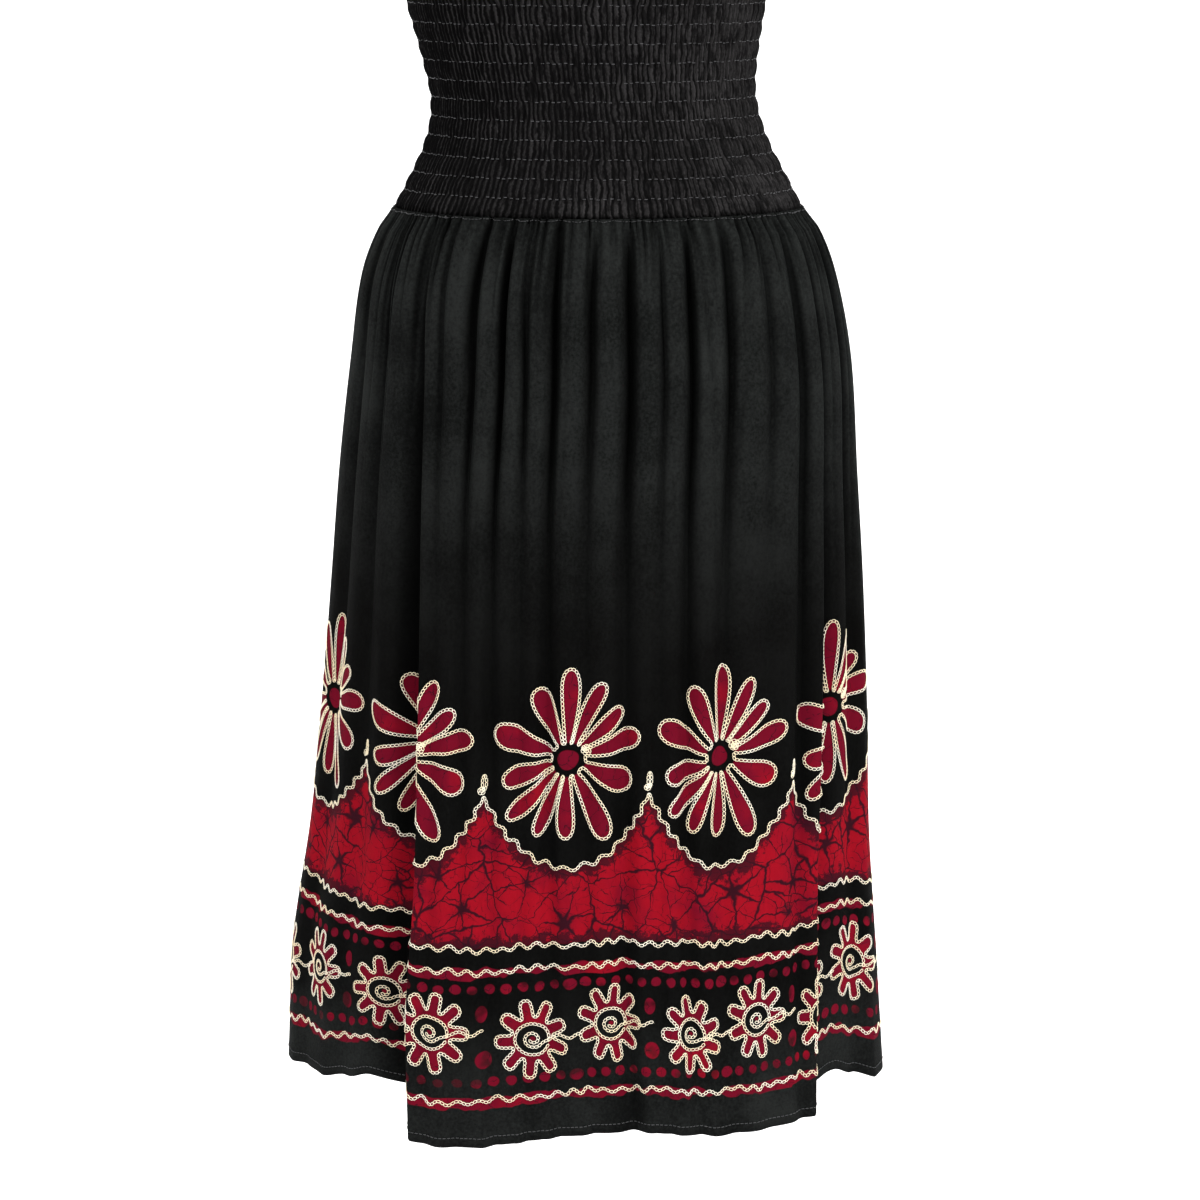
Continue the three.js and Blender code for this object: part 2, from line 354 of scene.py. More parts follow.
def fold_line(number, z):
    """Turn, inset and rise of fold lines at heights z. Odd lines are ridges and even ones valleys."""
    before = np.clip((number - 1) // 2, 0, RIDGES - 1)
    after = np.clip(number // 2, 0, RIDGES - 1)
    is_ridge = number % 2 == 1
    is_side = (number == 0) | (number == FOLD_LINES - 1)

    def between(column, share):
        return mix(FOLDS[column][before], FOLDS[column][after], share)

    hip, leg, foot = (FOLDS[column][before] for column in ("hip", "leg", "foot"))
    below_seam = (z - HIP_LEVEL) / (HIP_SEAM - HIP_LEVEL)
    upper = mix(hip, SEAM_DROP, np.clip(below_seam, 0, 1) ** 3)
    to_thigh = smooth_step((z - HIP_LEVEL) / (THIGH_LEVEL - HIP_LEVEL))
    to_hem = smooth_step((z - THIGH_LEVEL) / (HEM - THIGH_LEVEL))
    drop = np.where(z > HIP_LEVEL, upper, mix(mix(hip, leg, to_thigh), foot, to_hem))
    side_drop = mix(SIDE_SEAM_DROP, SEAM_DROP, smooth_step(below_seam))

    lean = FOLDS["lean"][before]
    turn = through_levels(*(between(column, lean) for column in ("seam", "thigh", "low")), z)
    turn = np.where(number == 0, -SIDE_SEAM, np.where(number == FOLD_LINES - 1, SIDE_SEAM, turn))
    sit = between("sit", lean) * ((z - HIP_SEAM) / (HEM - HIP_SEAM)) ** 2
    inset = np.where(is_side, side_drop, np.where(is_ridge, sit, sit + drop))
    lift = np.where(is_side, SIDE_SEAM_LIFT, between("lift", 1 - lean))
    rise = np.where(is_side, SIDE_SEAM_RISE, between("rise", 1 - lean))
    return turn, inset, through_levels(0.0, lift, rise, z)


def folded_point(line, z, facing, extra_inset=0.0):
    """Points of a skirt panel, each between two fold lines and at a height before the hem's rise."""
    number = np.clip(np.floor(line).astype(int), 0, FOLD_LINES - 2)
    share = line - number
    turn_a, inset_a, rise_a = fold_line(number, z)
    turn_b, inset_b, rise_b = fold_line(number + 1, z)
    from_ridge = number % 2 == 1
    away = np.where(from_ridge, share, 1 - share)
    drawn = smooth_step((z - GATHER_REACH) / (HIP_LEVEL - GATHER_REACH))
    creased = away ** np.where(from_ridge, CREASE_AFTER_RIDGE, CREASE_BEFORE_RIDGE)
    depth_share = mix(smooth_step(away) ** VALLEY_SHARPNESS, creased, drawn)
    inset = np.where(from_ridge, mix(inset_a, inset_b, depth_share), mix(inset_b, inset_a, depth_share))
    x, y = outline_point(facing + mix(turn_a, turn_b, share), z, inset + extra_inset)
    return np.stack([x, y, z + mix(rise_a, rise_b, smooth_step(share))], axis=-1)


class SkirtPanel:
    """A skirt panel as flat cloth: u from its left side seam, v above its hem, in millimetres."""

    ARC_LEVELS = (HEM + 40, HEM + 150, HEM + 330)
    STEPS_BETWEEN_LINES = 40
    GATHER_DEPTH = 6.0
    GATHER_LENGTH = 60.0
    GATHER_SHARPNESS = 2.5
    DRIFT = 0.9
    DRIFT_START = 260.0
    CLEARANCE = 0.2

    # Sharp creases below the hip seam. A pair is a mean and how far the creases vary from it
    CREASES = 27
    CREASE_WIDTH = 2.8
    CREASE_DEPTH = (3.6, 1.4)
    CREASE_REACH = (150.0, 110.0)
    CREASE_WANDER = 9.0
    CREASE_TILT = 0.07
    CREASE_START = 8.0

    def __init__(self, facing, width, gathers):
        """Spreads the flat cloth over the fold lines by their mean distance near the hem."""
        self.facing = facing
        self.width = width
        self.gathers = gathers
        spaces = FOLD_LINES - 1
        self.lines = np.linspace(0, spaces, self.STEPS_BETWEEN_LINES * spaces + 1)
        arc = np.zeros(len(self.lines))
        for level in self.ARC_LEVELS:
            points = folded_point(self.lines, np.full(len(self.lines), level), facing)
            arc[1:] += np.cumsum(np.linalg.norm(np.diff(points[:, :2], axis=0), axis=1))
        self.across = arc / arc[-1] * width

    def points(self, u, v, lift=0.0):
        """Points at flat places u and v, lifted off the cloth's outer side by lift."""
        z = HEM + np.asarray(v, dtype=float)
        u = np.asarray(u, dtype=float)
        line = np.interp(u, self.across, self.lines)
        fall = HIP_SEAM - z
        drift = self.DRIFT * np.sin(u / 23 + 0.8 * np.sin(z / 140))
        drift *= smooth_step(fall / self.DRIFT_START)
        inset = self.gather_depth(u, fall) + self.crease_depth(u, fall) + drift + self.CLEARANCE
        return folded_point(line, z, self.facing, inset - lift)

    def gather_depth(self, u, fall):
        """Depth of the small gathers, which run out below the hip seam."""
        phase = 2 * np.pi * self.gathers * u / self.width
        uneven = 0.6 + 0.4 * np.sin(phase / 7.3 + 1.1) * np.sin(phase / 3.1)
        deepest = self.GATHER_DEPTH * uneven * np.exp(-((fall / (self.GATHER_LENGTH * uneven)) ** 1.3))
        wander = np.sin(fall / 61 + phase / 11) * 1.3 + np.sin(phase / 5.3) * 1.7
        return deepest * (0.5 + 0.5 * np.cos(phase + wander)) ** self.GATHER_SHARPNESS

    def crease_depth(self, u, fall):
        """Depth of the sharp creases that run down from the hip seam, each as far as its own reach."""
        depth = np.zeros(np.broadcast(u, fall).shape)
        opening = smooth_step(fall / self.CREASE_START)
        for number in range(self.CREASES):
            start = self.width * (number + 0.5) / self.CREASES
            start += self.CREASE_WANDER * math.sin(2.3 * number)
            tilt = self.CREASE_TILT * math.sin(1.9 * number + 0.4)
            reach = self.CREASE_REACH[0] + self.CREASE_REACH[1] * math.sin(3.1 * number)
            deepest = self.CREASE_DEPTH[0] + self.CREASE_DEPTH[1] * math.sin(5.3 * number)
            across = np.abs(u - start - tilt * fall) / self.CREASE_WIDTH
            depth += deepest * np.exp(-across - (fall / reach) ** 2) * opening
        return depth


def elastic_levels():
    """Heights of the bodice's rows of elastic, from the top down."""
    return np.linspace(TOP_EDGE - HEADING, HIP_SEAM, ELASTIC_ROWS)


def pucker_phase(puckers, share, row, between):
    """Turns of the bodice's puckers. They lean and wander from one row of elastic to the next."""
    phase = share * (2 * math.pi * puckers)
    lean = sine(phase / 9.7 + row * 2.4) * 1.3 + sine(phase / 4.3 + row * 1.7) * 0.9
    return phase + lean * between


class BodicePanel:
    """A bodice panel: share of the way across it, and height."""

    PITCH = (TOP_EDGE - HEADING - HIP_SEAM) / (ELASTIC_ROWS - 1)
    ROW_INSET = 4.0
    PUFF = 1.0
    PUFF_ROUNDNESS = 0.6
    FRILL_SPREAD = 2.2
    FRILL_FACES = 3
    PUCKER_DEPTH = 2.5
    PUCKER_DEPTH_ON_ROW = 1.2
    PUCKER_SHARPNESS = 0.7
    SAG = 0.5

    def __init__(self, facing, puckers):
        self.facing = facing
        self.puckers = puckers

    def points(self, share, z, lift=0.0):
        """Points on the panel, lifted off the cloth's outer side by lift."""
        share, z = np.asarray(share, dtype=float), np.asarray(z, dtype=float)
        rows_down = (TOP_EDGE - HEADING - z) / self.PITCH
        row = np.floor(rows_down)
        below_first_row = np.abs(np.sin(np.pi * rows_down))
        in_frill = np.clip(-rows_down * self.FRILL_SPREAD, 0, 1)
        between = np.where(rows_down < 0, in_frill, below_first_row) ** self.PUFF_ROUNDNESS
        phase = pucker_phase(self.puckers, share, row, between)
        pleat = (0.5 + 0.5 * np.cos(phase)) ** self.PUCKER_SHARPNESS
        slow = 2 * np.pi * self.puckers * share
        uneven = 0.8 + 0.2 * np.sin(slow / 2.7 + 2.1 * row) * np.sin(slow / 6.1 + 0.7 * row)
        puffed = between * (self.PUFF + self.PUCKER_DEPTH * pleat * uneven)
        held = (1 - between) * self.PUCKER_DEPTH_ON_ROW * pleat
        turn = mix(-SIDE_SEAM, SIDE_SEAM, share)
        x, y = outline_point(self.facing + turn, z, self.ROW_INSET - puffed - held - lift)
        sag = self.SAG * np.sin(slow / 13.0 + 1.3 * row) * between
        return np.stack([x, y, z + np.where(np.abs(z - TOP_EDGE) < 1, 0, sag)], axis=-1)

    def elastic_places(self):
        """Places of the elastic's stitches: one between two puckers, where it isn't sunk in them."""
        return np.array(
            [
                (crest / self.puckers, level + 0.4 * math.sin(crest * 2.0 + row))
                for row, level in enumerate(elastic_levels()[:-1])
                for crest in range(1, self.puckers)
                if math.sin(crest * 2.61 + 2.3 * row) + math.sin(crest * 0.83 + row) > -1.15
            ]
        )


# Making meshes


def new_object(name, mesh):
    """An object of the scene with this mesh."""
    piece = bpy.data.objects.new(name, mesh)
    bpy.context.scene.collection.objects.link(piece)
    return piece


def cloth_object(name, columns, rows, place, thickness):
    """A grid of cloth whose flat places place(across, up) puts in space, given a thickness inwards."""
    sheet = bmesh.new()
    sheet.loops.layers.uv.new("flat_cloth")
    bmesh.ops.create_grid(sheet, x_segments=columns, y_segments=rows, size=0.5, calc_uvs=True)
    mesh = bpy.data.meshes.new(name)
    sheet.to_mesh(mesh)
    sheet.free()
    flat = np.empty(len(mesh.vertices) * 3)
    mesh.vertices.foreach_get("co", flat)
    flat = flat.reshape(-1, 3) + 0.5
    points = place(flat[:, 0], flat[:, 1]) * MM
    mesh.vertices.foreach_set("co", points.ravel())
    piece = new_object(name, mesh)
    mesh.shade_smooth()
    shell = piece.modifiers.new("Cloth thickness", "SOLIDIFY")
    shell.thickness = thickness
    shell.offset = -1
    shell.use_even_offset = True
    return piece


def apply_modifiers(piece):
    """Makes the piece's mesh what its modifiers give."""
    graph = bpy.context.evaluated_depsgraph_get()
    mesh = bpy.data.meshes.new_from_object(piece.evaluated_get(graph))
    piece.modifiers.clear()
    piece.data = mesh


# Shader nodes


class Wire:
    """A number in a node tree. Arithmetic on it adds Math nodes."""

    def __init__(self, tree, source):
        self.tree = tree
        self.source = source

    def math(self, operation, *others, clamp=False):
        """The result of a Math node on this number and others."""
        node = self.tree.nodes.new("ShaderNodeMath")
        node.operation = operation
        node.use_clamp = clamp
        for socket, value in zip(node.inputs, (self, *others)):
            plug(self.tree, value, socket)
        return Wire(self.tree, node.outputs[0])

    def __add__(self, other):
        return self.math("ADD", other)

    def __sub__(self, other):
        return self.math("SUBTRACT", other)

    def __rsub__(self, other):
        return self.math("MULTIPLY_ADD", -1.0, other)

    def __mul__(self, other):
        return self.math("MULTIPLY", other)

    def __truediv__(self, other):
        return self.math("DIVIDE", other)

    def __pow__(self, other):
        return self.math("POWER", other)

    def __mod__(self, other):
        return self.math("FLOORED_MODULO", other)

    def __abs__(self):
        return self.math("ABSOLUTE")

    def sin(self):
        return self.math("SINE")

    def cos(self):
        return self.math("COSINE")

    def sqrt(self):
        return self.math("SQRT")

    def floor(self):
        return self.math("FLOOR")

    def lesser(self, other):
        return self.math("MINIMUM", other)

    def greater(self, other):
        return self.math("MAXIMUM", other)

    def clamped(self):
        return self.math("ADD", 0.0, clamp=True)

    def step(self, start, end):
        """0 below start and 1 above end, with a smooth way between. Start may be above end."""
        node = self.tree.nodes.new("ShaderNodeMapRange")
        node.interpolation_type = "SMOOTHSTEP"
        node.inputs["From Min"].default_value = start
        node.inputs["From Max"].default_value = end
        self.tree.links.new(self.source, node.inputs["Value"])
        return Wire(self.tree, node.outputs[0])


def plug(tree, value, socket):
    """Links a wire or a socket to an input, or sets the input to a plain number or vector."""
    if isinstance(value, Wire):
        value = value.source
    if isinstance(value, bpy.types.NodeSocket):
        tree.links.new(value, socket)
    else:
        socket.default_value = value


def hypotenuse(a, b):
    """Length of the line to a place a across and b up."""
    return (a * a + b * b).sqrt()


def axes_of(tree, vector):
    """The three numbers of a vector socket."""
    node = tree.nodes.new("ShaderNodeSeparateXYZ")
    tree.links.new(vector, node.inputs[0])
    return [Wire(tree, axis) for axis in node.outputs]


def vector_math(tree, operation, *values):
    """The result of a Vector Math node. A value is a socket or three numbers."""
    node = tree.nodes.new("ShaderNodeVectorMath")
    node.operation = operation
    for socket, value in zip(node.inputs, values):
        plug(tree, value, socket)
    return node.outputs[0]


def node_group(name, inputs, outputs):
    """A new shader node group with named sockets, as (group, input node, output node)."""
    group = bpy.data.node_groups.new(name, "ShaderNodeTree")
    for label, kind, default in inputs:
        socket = group.interface.new_socket(label, in_out="INPUT", socket_type=kind)
        if default is not None:
            socket.default_value = default
    for label, kind in outputs:
        group.interface.new_socket(label, in_out="OUTPUT", socket_type=kind)
    return group, group.nodes.new("NodeGroupInput"), group.nodes.new("NodeGroupOutput")


def add_group(tree, group, **values):
    """Places a group in a tree. A value is what goes to the input of its name."""
    node = tree.nodes.new("ShaderNodeGroup")
    node.node_tree = group
    for label, value in values.items():
        plug(tree, value, node.inputs[label.replace("_", " ")])
    return node


def mix_colour(tree, share, first, second):
    """The colour a share of the way from first to second, each a socket or three numbers."""
    node = tree.nodes.new("ShaderNodeMix")
    node.data_type = "RGBA"
    plug(tree, share, node.inputs[0])
    for socket, colour in ((node.inputs[6], first), (node.inputs[7], second)):
        plug(tree, colour if isinstance(colour, bpy.types.NodeSocket) else (*colour, 1.0), socket)
    return node.outputs[2]


def times(colour, factor):
    """A colour with each channel multiplied by factor."""
    return [channel * factor for channel in colour]


def noise_node(tree, vector, scale, detail=2.0, roughness=0.5):
    """A Noise Texture node on a vector socket."""
    node = tree.nodes.new("ShaderNodeTexNoise")
    node.inputs["Scale"].default_value = scale
    node.inputs["Detail"].default_value = detail
    node.inputs["Roughness"].default_value = roughness
    tree.links.new(vector, node.inputs["Vector"])
    return node


def noise(tree, vector, scale, detail=2.0, roughness=0.5):
    """Noise from 0 to 1 on a vector socket."""
    return Wire(tree, noise_node(tree, vector, scale, detail, roughness).outputs[0])


def painted_shade_factor(tree, reach, gamma):
    """Painted shade from ambient occlusion: 1 on open cloth and less in a fold or a crease that is narrower
    than reach.
    """
    node = tree.nodes.new("ShaderNodeAmbientOcclusion")
    node.samples = 8
    node.only_local = True
    node.inputs["Distance"].default_value = reach
    return Wire(tree, node.outputs["AO"]) ** gamma


def crepe_group():
    """Crepe: the cloth's fine uneven weave, as a height, and slow and fine changes of its tone."""
    group, start, end = node_group(
        "Crepe weave",
        [("Vector", "NodeSocketVector", None), ("Thread Pitch", "NodeSocketFloat", 0.0007)],
        [("Height", "NodeSocketFloat"), ("Tone", "NodeSocketFloat")],
    )
    place = start.outputs["Vector"]
    pitch = Wire(group, start.outputs["Thread Pitch"])
    x, y, z = axes_of(group, place)
    wobble = noise(group, place, 90.0, 2.0) * 0.0032
    turns = 2 * math.pi
    warp = ((x + y + wobble) / pitch * turns).sin()
    weft = (z / pitch * turns).sin()
    slub = noise(group, place, 900.0, 3.0, 0.65)
    height = (warp * weft * 0.25 + slub).clamped()
    tone = noise(group, place, 420.0, 4.0, 0.7) * 0.55 + noise(group, place, 16.0, 3.0) * 0.45
    group.links.new(height.source, end.inputs["Height"])
    group.links.new(tone.source, end.inputs["Tone"])
    return group


def principled(material, roughness, specular, sheen=0.0):
    """The material's node tree and its shader, set to cloth."""
    material.use_nodes = True
    tree = material.node_tree
    shader = tree.nodes["Principled BSDF"]
    shader.inputs["Roughness"].default_value = roughness
    shader.inputs["Sheen Weight"].default_value = sheen
    shader.inputs["Sheen Roughness"].default_value = 0.4
    shader.inputs["Specular IOR Level"].default_value = specular
    return tree, shader


def bump(tree, shader, height, distance, strength):
    """Relief on a shader. distance is how far a height of 1 stands out, in metres."""
    node = tree.nodes.new("ShaderNodeBump")
    node.inputs["Strength"].default_value = strength
    node.inputs["Distance"].default_value = distance
    plug(tree, height, node.inputs["Height"])
    tree.links.new(node.outputs[0], shader.inputs["Normal"])


# The border's motifs. Sizes are in millimetres on the flat cloth, heights above the hem


class Motifs:
    """Sizes and places of the border's motifs, and the lines that are embroidered along them.

    A method that takes an angle or a distance is used for the stitches, with numbers, and for the
    print, with wires.
    """

    HEM_WAVE = 39.0
    LOW_DOTS = 55.0
    SUNS = 93.0
    HIGH_DOTS = 134.0
    MIDDLE_WAVE = 149.0
    TOP_WAVE = 168.0
    SCALLOP_LOW = 233.0
    SCALLOP_PEAK = 296.0
    FLOWERS = 325.0
    WAVE_RISE = 2.3
    WAVES_PER_REPEAT = 10
    STRIP_HALF_HEIGHT = 5.5
    STRIP_DROP = 1.5
    SCALLOP_ROUNDNESS = 0.9
    SCALLOP_RIPPLE = 2.3
    RIPPLES_PER_SCALLOP = 13
    LOOP_PLACE = (0.8, 11.5)
    LOOP_SIZE = (1.7, 6.5)
    CURL_PLACE = (-1.4, 5.5)
    CURL_RADII = (1.0, 3.2)

    PETALS = 12
    FIRST_PETAL = 0.2
    PETAL_START = 13.5
    PETAL_BASE = 2.0
    PETAL_SIDE_REACH = 60.0
    PETAL_UP_REACH = 71.0
    PETAL_UNEVEN = 5.0
    PETAL_HALF_WIDTH = 11.2
    PETAL_VARIETY = 0.25
    PETAL_SWELL = 0.8
    PETAL_BLUNTNESS = 5.0
    PETAL_SWAY = 1.2
    POINTS_ON_PETAL_SIDE = 60
    CROWDING = 0.21
    CROWD_TURN = 5.41
    FLOWER_CENTRE = 8.2
    KNOT_PLACE = (15.0, 8.0)
    KNOT_WANDER = 1.5
    KNOT_RADII = (4.6, 1.0)
    KNOT_TURNS = 1.9

    SUN_OFFSET = 33.0
    SUN_WANDER = 4.5
    RAYS = 9.0
    SUN_MIDDLE = 24.0
    RAY_RISE = 7.6
    RAY_SHARPNESS = 1.9
    RAY_BREADTH = 0.5
    SUN_NARROWING = 1.12
    SUN_STRETCH = 1.08
    SUN_RING = 13.2
    COIL_RADII = (2.7, 7.4)
    COIL_TURNS = 1.25
    TAIL_LENGTH = SUN_OFFSET + 4.0
    TAIL_SWING = 1.8

    # Large dots stand between pairs of suns: half width, half height, and height above the suns
    DOT = 4.0
    DOTS_PER_REPEAT = 11
    UPPER_DOT = (4.6, 7.2, 20.0)
    LOWER_DOT = (6.2, 7.4, -19.0)

    # Repeats are uneven: how far a place is moved, and the pace and start of the sine that moves it.
    # The cloth's places are known from CLOTH_START to CLOTH_END, past both side seams
    UNEVEN_REPEAT = (10.0, 0.01122, 0.449)
    CLOTH_START = -200.0
    CLOTH_END = 1200.0

    def __init__(self, period, shift):
        self.period = period
        self.shift = shift
        self.sector = 2 * math.pi / self.PETALS

    def scallop(self, x):
        """Height of the scalloped edge at distance x from a flower's axis."""
        share = x / (self.period / 2)
        curve = at_least_zero(1.0 - share * share) ** self.SCALLOP_ROUNDNESS
        return self.SCALLOP_PEAK - curve * (self.SCALLOP_PEAK - self.SCALLOP_LOW)

    def even_place(self, u):
        """Where a place on the cloth would be if the border's repeats were all of one width."""
        amount, pace, start = self.UNEVEN_REPEAT
        return u + sine(u * pace + start) * amount

    def on_cloth(self, lines):
        """Lines drawn on even repeats, moved to their places on the cloth."""
        cloth = np.arange(self.CLOTH_START, self.CLOTH_END, 0.5)
        even = self.even_place(cloth)
        return [np.stack([np.interp(line[:, 0], even, cloth), line[:, 1]], axis=-1) for line in lines]

    def sun_height(self, hand):
        """Height of a sun. hand is -1 for the one on the left of its flower and 1 for the other."""
        return hand * self.SUN_WANDER + self.SUNS

    def sun_edge(self, angle):
        """Radius of a sun's outline at an angle, before the sun is narrowed and stretched."""
        ray = squashed(sine(angle * self.RAYS + math.pi / 2) * self.RAY_SHARPNESS + self.RAY_BREADTH)
        return ray * self.RAY_RISE + self.SUN_MIDDLE

    def petal_turn(self, crowded):
        """Angle of a petal, from its angle before the petals crowd together at the top and bottom."""
        nearly = crowded + sine(crowded * 2.0 - self.CROWD_TURN) * self.CROWDING
        return crowded + sine(nearly * 2.0 - self.CROWD_TURN) * self.CROWDING

    def petal_reach(self, angle):
        """Distance of a petal's tip from the flower's centre."""
        tall = sine(angle)
        longer = tall * tall * (self.PETAL_UP_REACH - self.PETAL_SIDE_REACH)
        return longer + sine(angle * 5.0 + 0.6) * self.PETAL_UNEVEN + self.PETAL_SIDE_REACH

    def petal_side(self, angle, along):
        """Distance of a petal's edge from its middle line, a share of the way along the petal."""
        variety = sine(angle * 2.0 - (self.CROWD_TURN - math.pi / 2)) * self.PETAL_VARIETY + 1.0
        widening = (variety * self.PETAL_HALF_WIDTH - self.PETAL_BASE) * along**self.PETAL_SWELL
        rounding = root(at_least_zero(1.0 - along**self.PETAL_BLUNTNESS))
        return (widening + self.PETAL_BASE) * rounding

    def wave(self, base, start, end):
        """A line of small waves about a height, from one place on the flat cloth to another."""
        u = np.arange(start, end, 1.0)
        turns = 2 * np.pi * self.WAVES_PER_REPEAT / self.period
        uneven = 1 + 0.3 * np.sin(u * 0.11 + base)
        ripple = uneven * np.sin(turns * u + base + 0.8 * np.sin(u * 0.07 + base))
        return np.stack([u, base + self.WAVE_RISE * ripple + 1.2 * np.sin(u * 0.09 + base)], axis=-1)

    def flower(self, centre, seed):
        """Lines of one flower: one round all its petals, and the knot beside its centre."""
        outline = []
        along = (1 - np.cos(np.linspace(0, np.pi, self.POINTS_ON_PETAL_SIDE))) / 2
        for petal in range(self.PETALS):
            angle = self.petal_turn((petal + self.FIRST_PETAL) * self.sector)
            side = self.petal_side(angle, along)
            sway = self.PETAL_SWAY * np.sin(2.3 * petal + seed) * np.sin(np.pi * along)
            forward = mix(self.PETAL_START, self.petal_reach(angle), along)
            forward = np.concatenate([forward, forward[::-1]])
            sideways = np.concatenate([sway - side, (sway + side)[::-1]])
            x = centre + forward * np.cos(angle) - sideways * np.sin(angle)
            v = self.FLOWERS + forward * np.sin(angle) + sideways * np.cos(angle)
            outline.append(np.stack([x, v], axis=-1))
        outline.append(outline[0][:1])
        knot_x = centre + self.KNOT_PLACE[0] + self.KNOT_WANDER * np.sin(seed)
        knot_v = self.FLOWERS + self.KNOT_PLACE[1] + self.KNOT_WANDER * np.cos(seed)
        knot = spiral(knot_x, knot_v, *self.KNOT_RADII, 0.5, 2 * np.pi * self.KNOT_TURNS)
        return [np.concatenate(outline), knot]

    def sun(self, centre, seed, hand):
        """Lines of one sun: its rays, its ring, and a spiral that runs on through the ring."""
        height = self.sun_height(hand)
        around = np.linspace(0, 2 * np.pi, 361)
        radius = self.sun_edge(around)
        rays_x = centre + hand * radius * np.cos(around) / self.SUN_NARROWING
        rays = np.stack([rays_x, height + radius * np.sin(around) * self.SUN_STRETCH], axis=-1)
        ring = spiral(centre, height, self.SUN_RING, self.SUN_RING + 0.6, -0.3, 6.1)
        turns = 2 * np.pi * self.COIL_TURNS
        coil = spiral(centre, height, *self.COIL_RADII, 0.3 * np.sin(seed) - 1.0 - turns, turns)
        start_x, start_v = coil[-1]
        tail_x = np.linspace(0, self.TAIL_LENGTH, 40)
        swing = self.TAIL_SWING * np.sin(tail_x * 0.4) * smooth_step(tail_x / 6)
        tail = [start_x + tail_x, mix(start_v, height, smooth_step(tail_x / 14)) + swing]
        return [rays, ring, np.concatenate([coil, np.stack(tail, axis=-1)[1:]])]

    def scallop_line(self, axis):
        """The wavy stitched edge of one scallop, and the loop and curl at its right-hand peak."""
        half = self.period / 2
        x = half * np.linspace(-1, 1, 500)
        v = self.scallop(x)
        slope_x, slope_v = np.gradient(x), np.gradient(v)
        length = np.hypot(slope_x, slope_v)
        arc = np.cumsum(length)
        fade = np.clip((half - np.abs(x)) / 6, 0, 1)
        ripples = 2 * np.pi * self.RIPPLES_PER_SCALLOP * arc / arc[-1]
        ripple = self.SCALLOP_RIPPLE * np.sin(ripples + 0.9 * np.sin(arc / 31)) * fade
        edge = np.stack([axis + x - slope_v / length * ripple, v + slope_x / length * ripple], axis=-1)
        peak = np.array([axis + half, self.SCALLOP_PEAK])
        turn = np.linspace(-0.5 * np.pi, 1.5 * np.pi, 40)
        loop = peak + self.LOOP_PLACE + np.stack([np.cos(turn), np.sin(turn)], axis=-1) * self.LOOP_SIZE
        curl = spiral(*(peak + self.CURL_PLACE), *self.CURL_RADII, 0.9 + axis * 0.01, 9.0)
        return [edge, loop, curl]


def spiral(x, v, start_radius, end_radius, start_turn, turns):
    """Points of a spiral about x and v. start_turn and turns are in radians."""
    turned = np.linspace(0, turns, max(int(turns * 8), 16))
    radius = mix(start_radius, end_radius, turned / turns)
    turn = start_turn + turned
    return np.stack([x + radius * np.cos(turn), v + radius * np.sin(turn)], axis=-1)


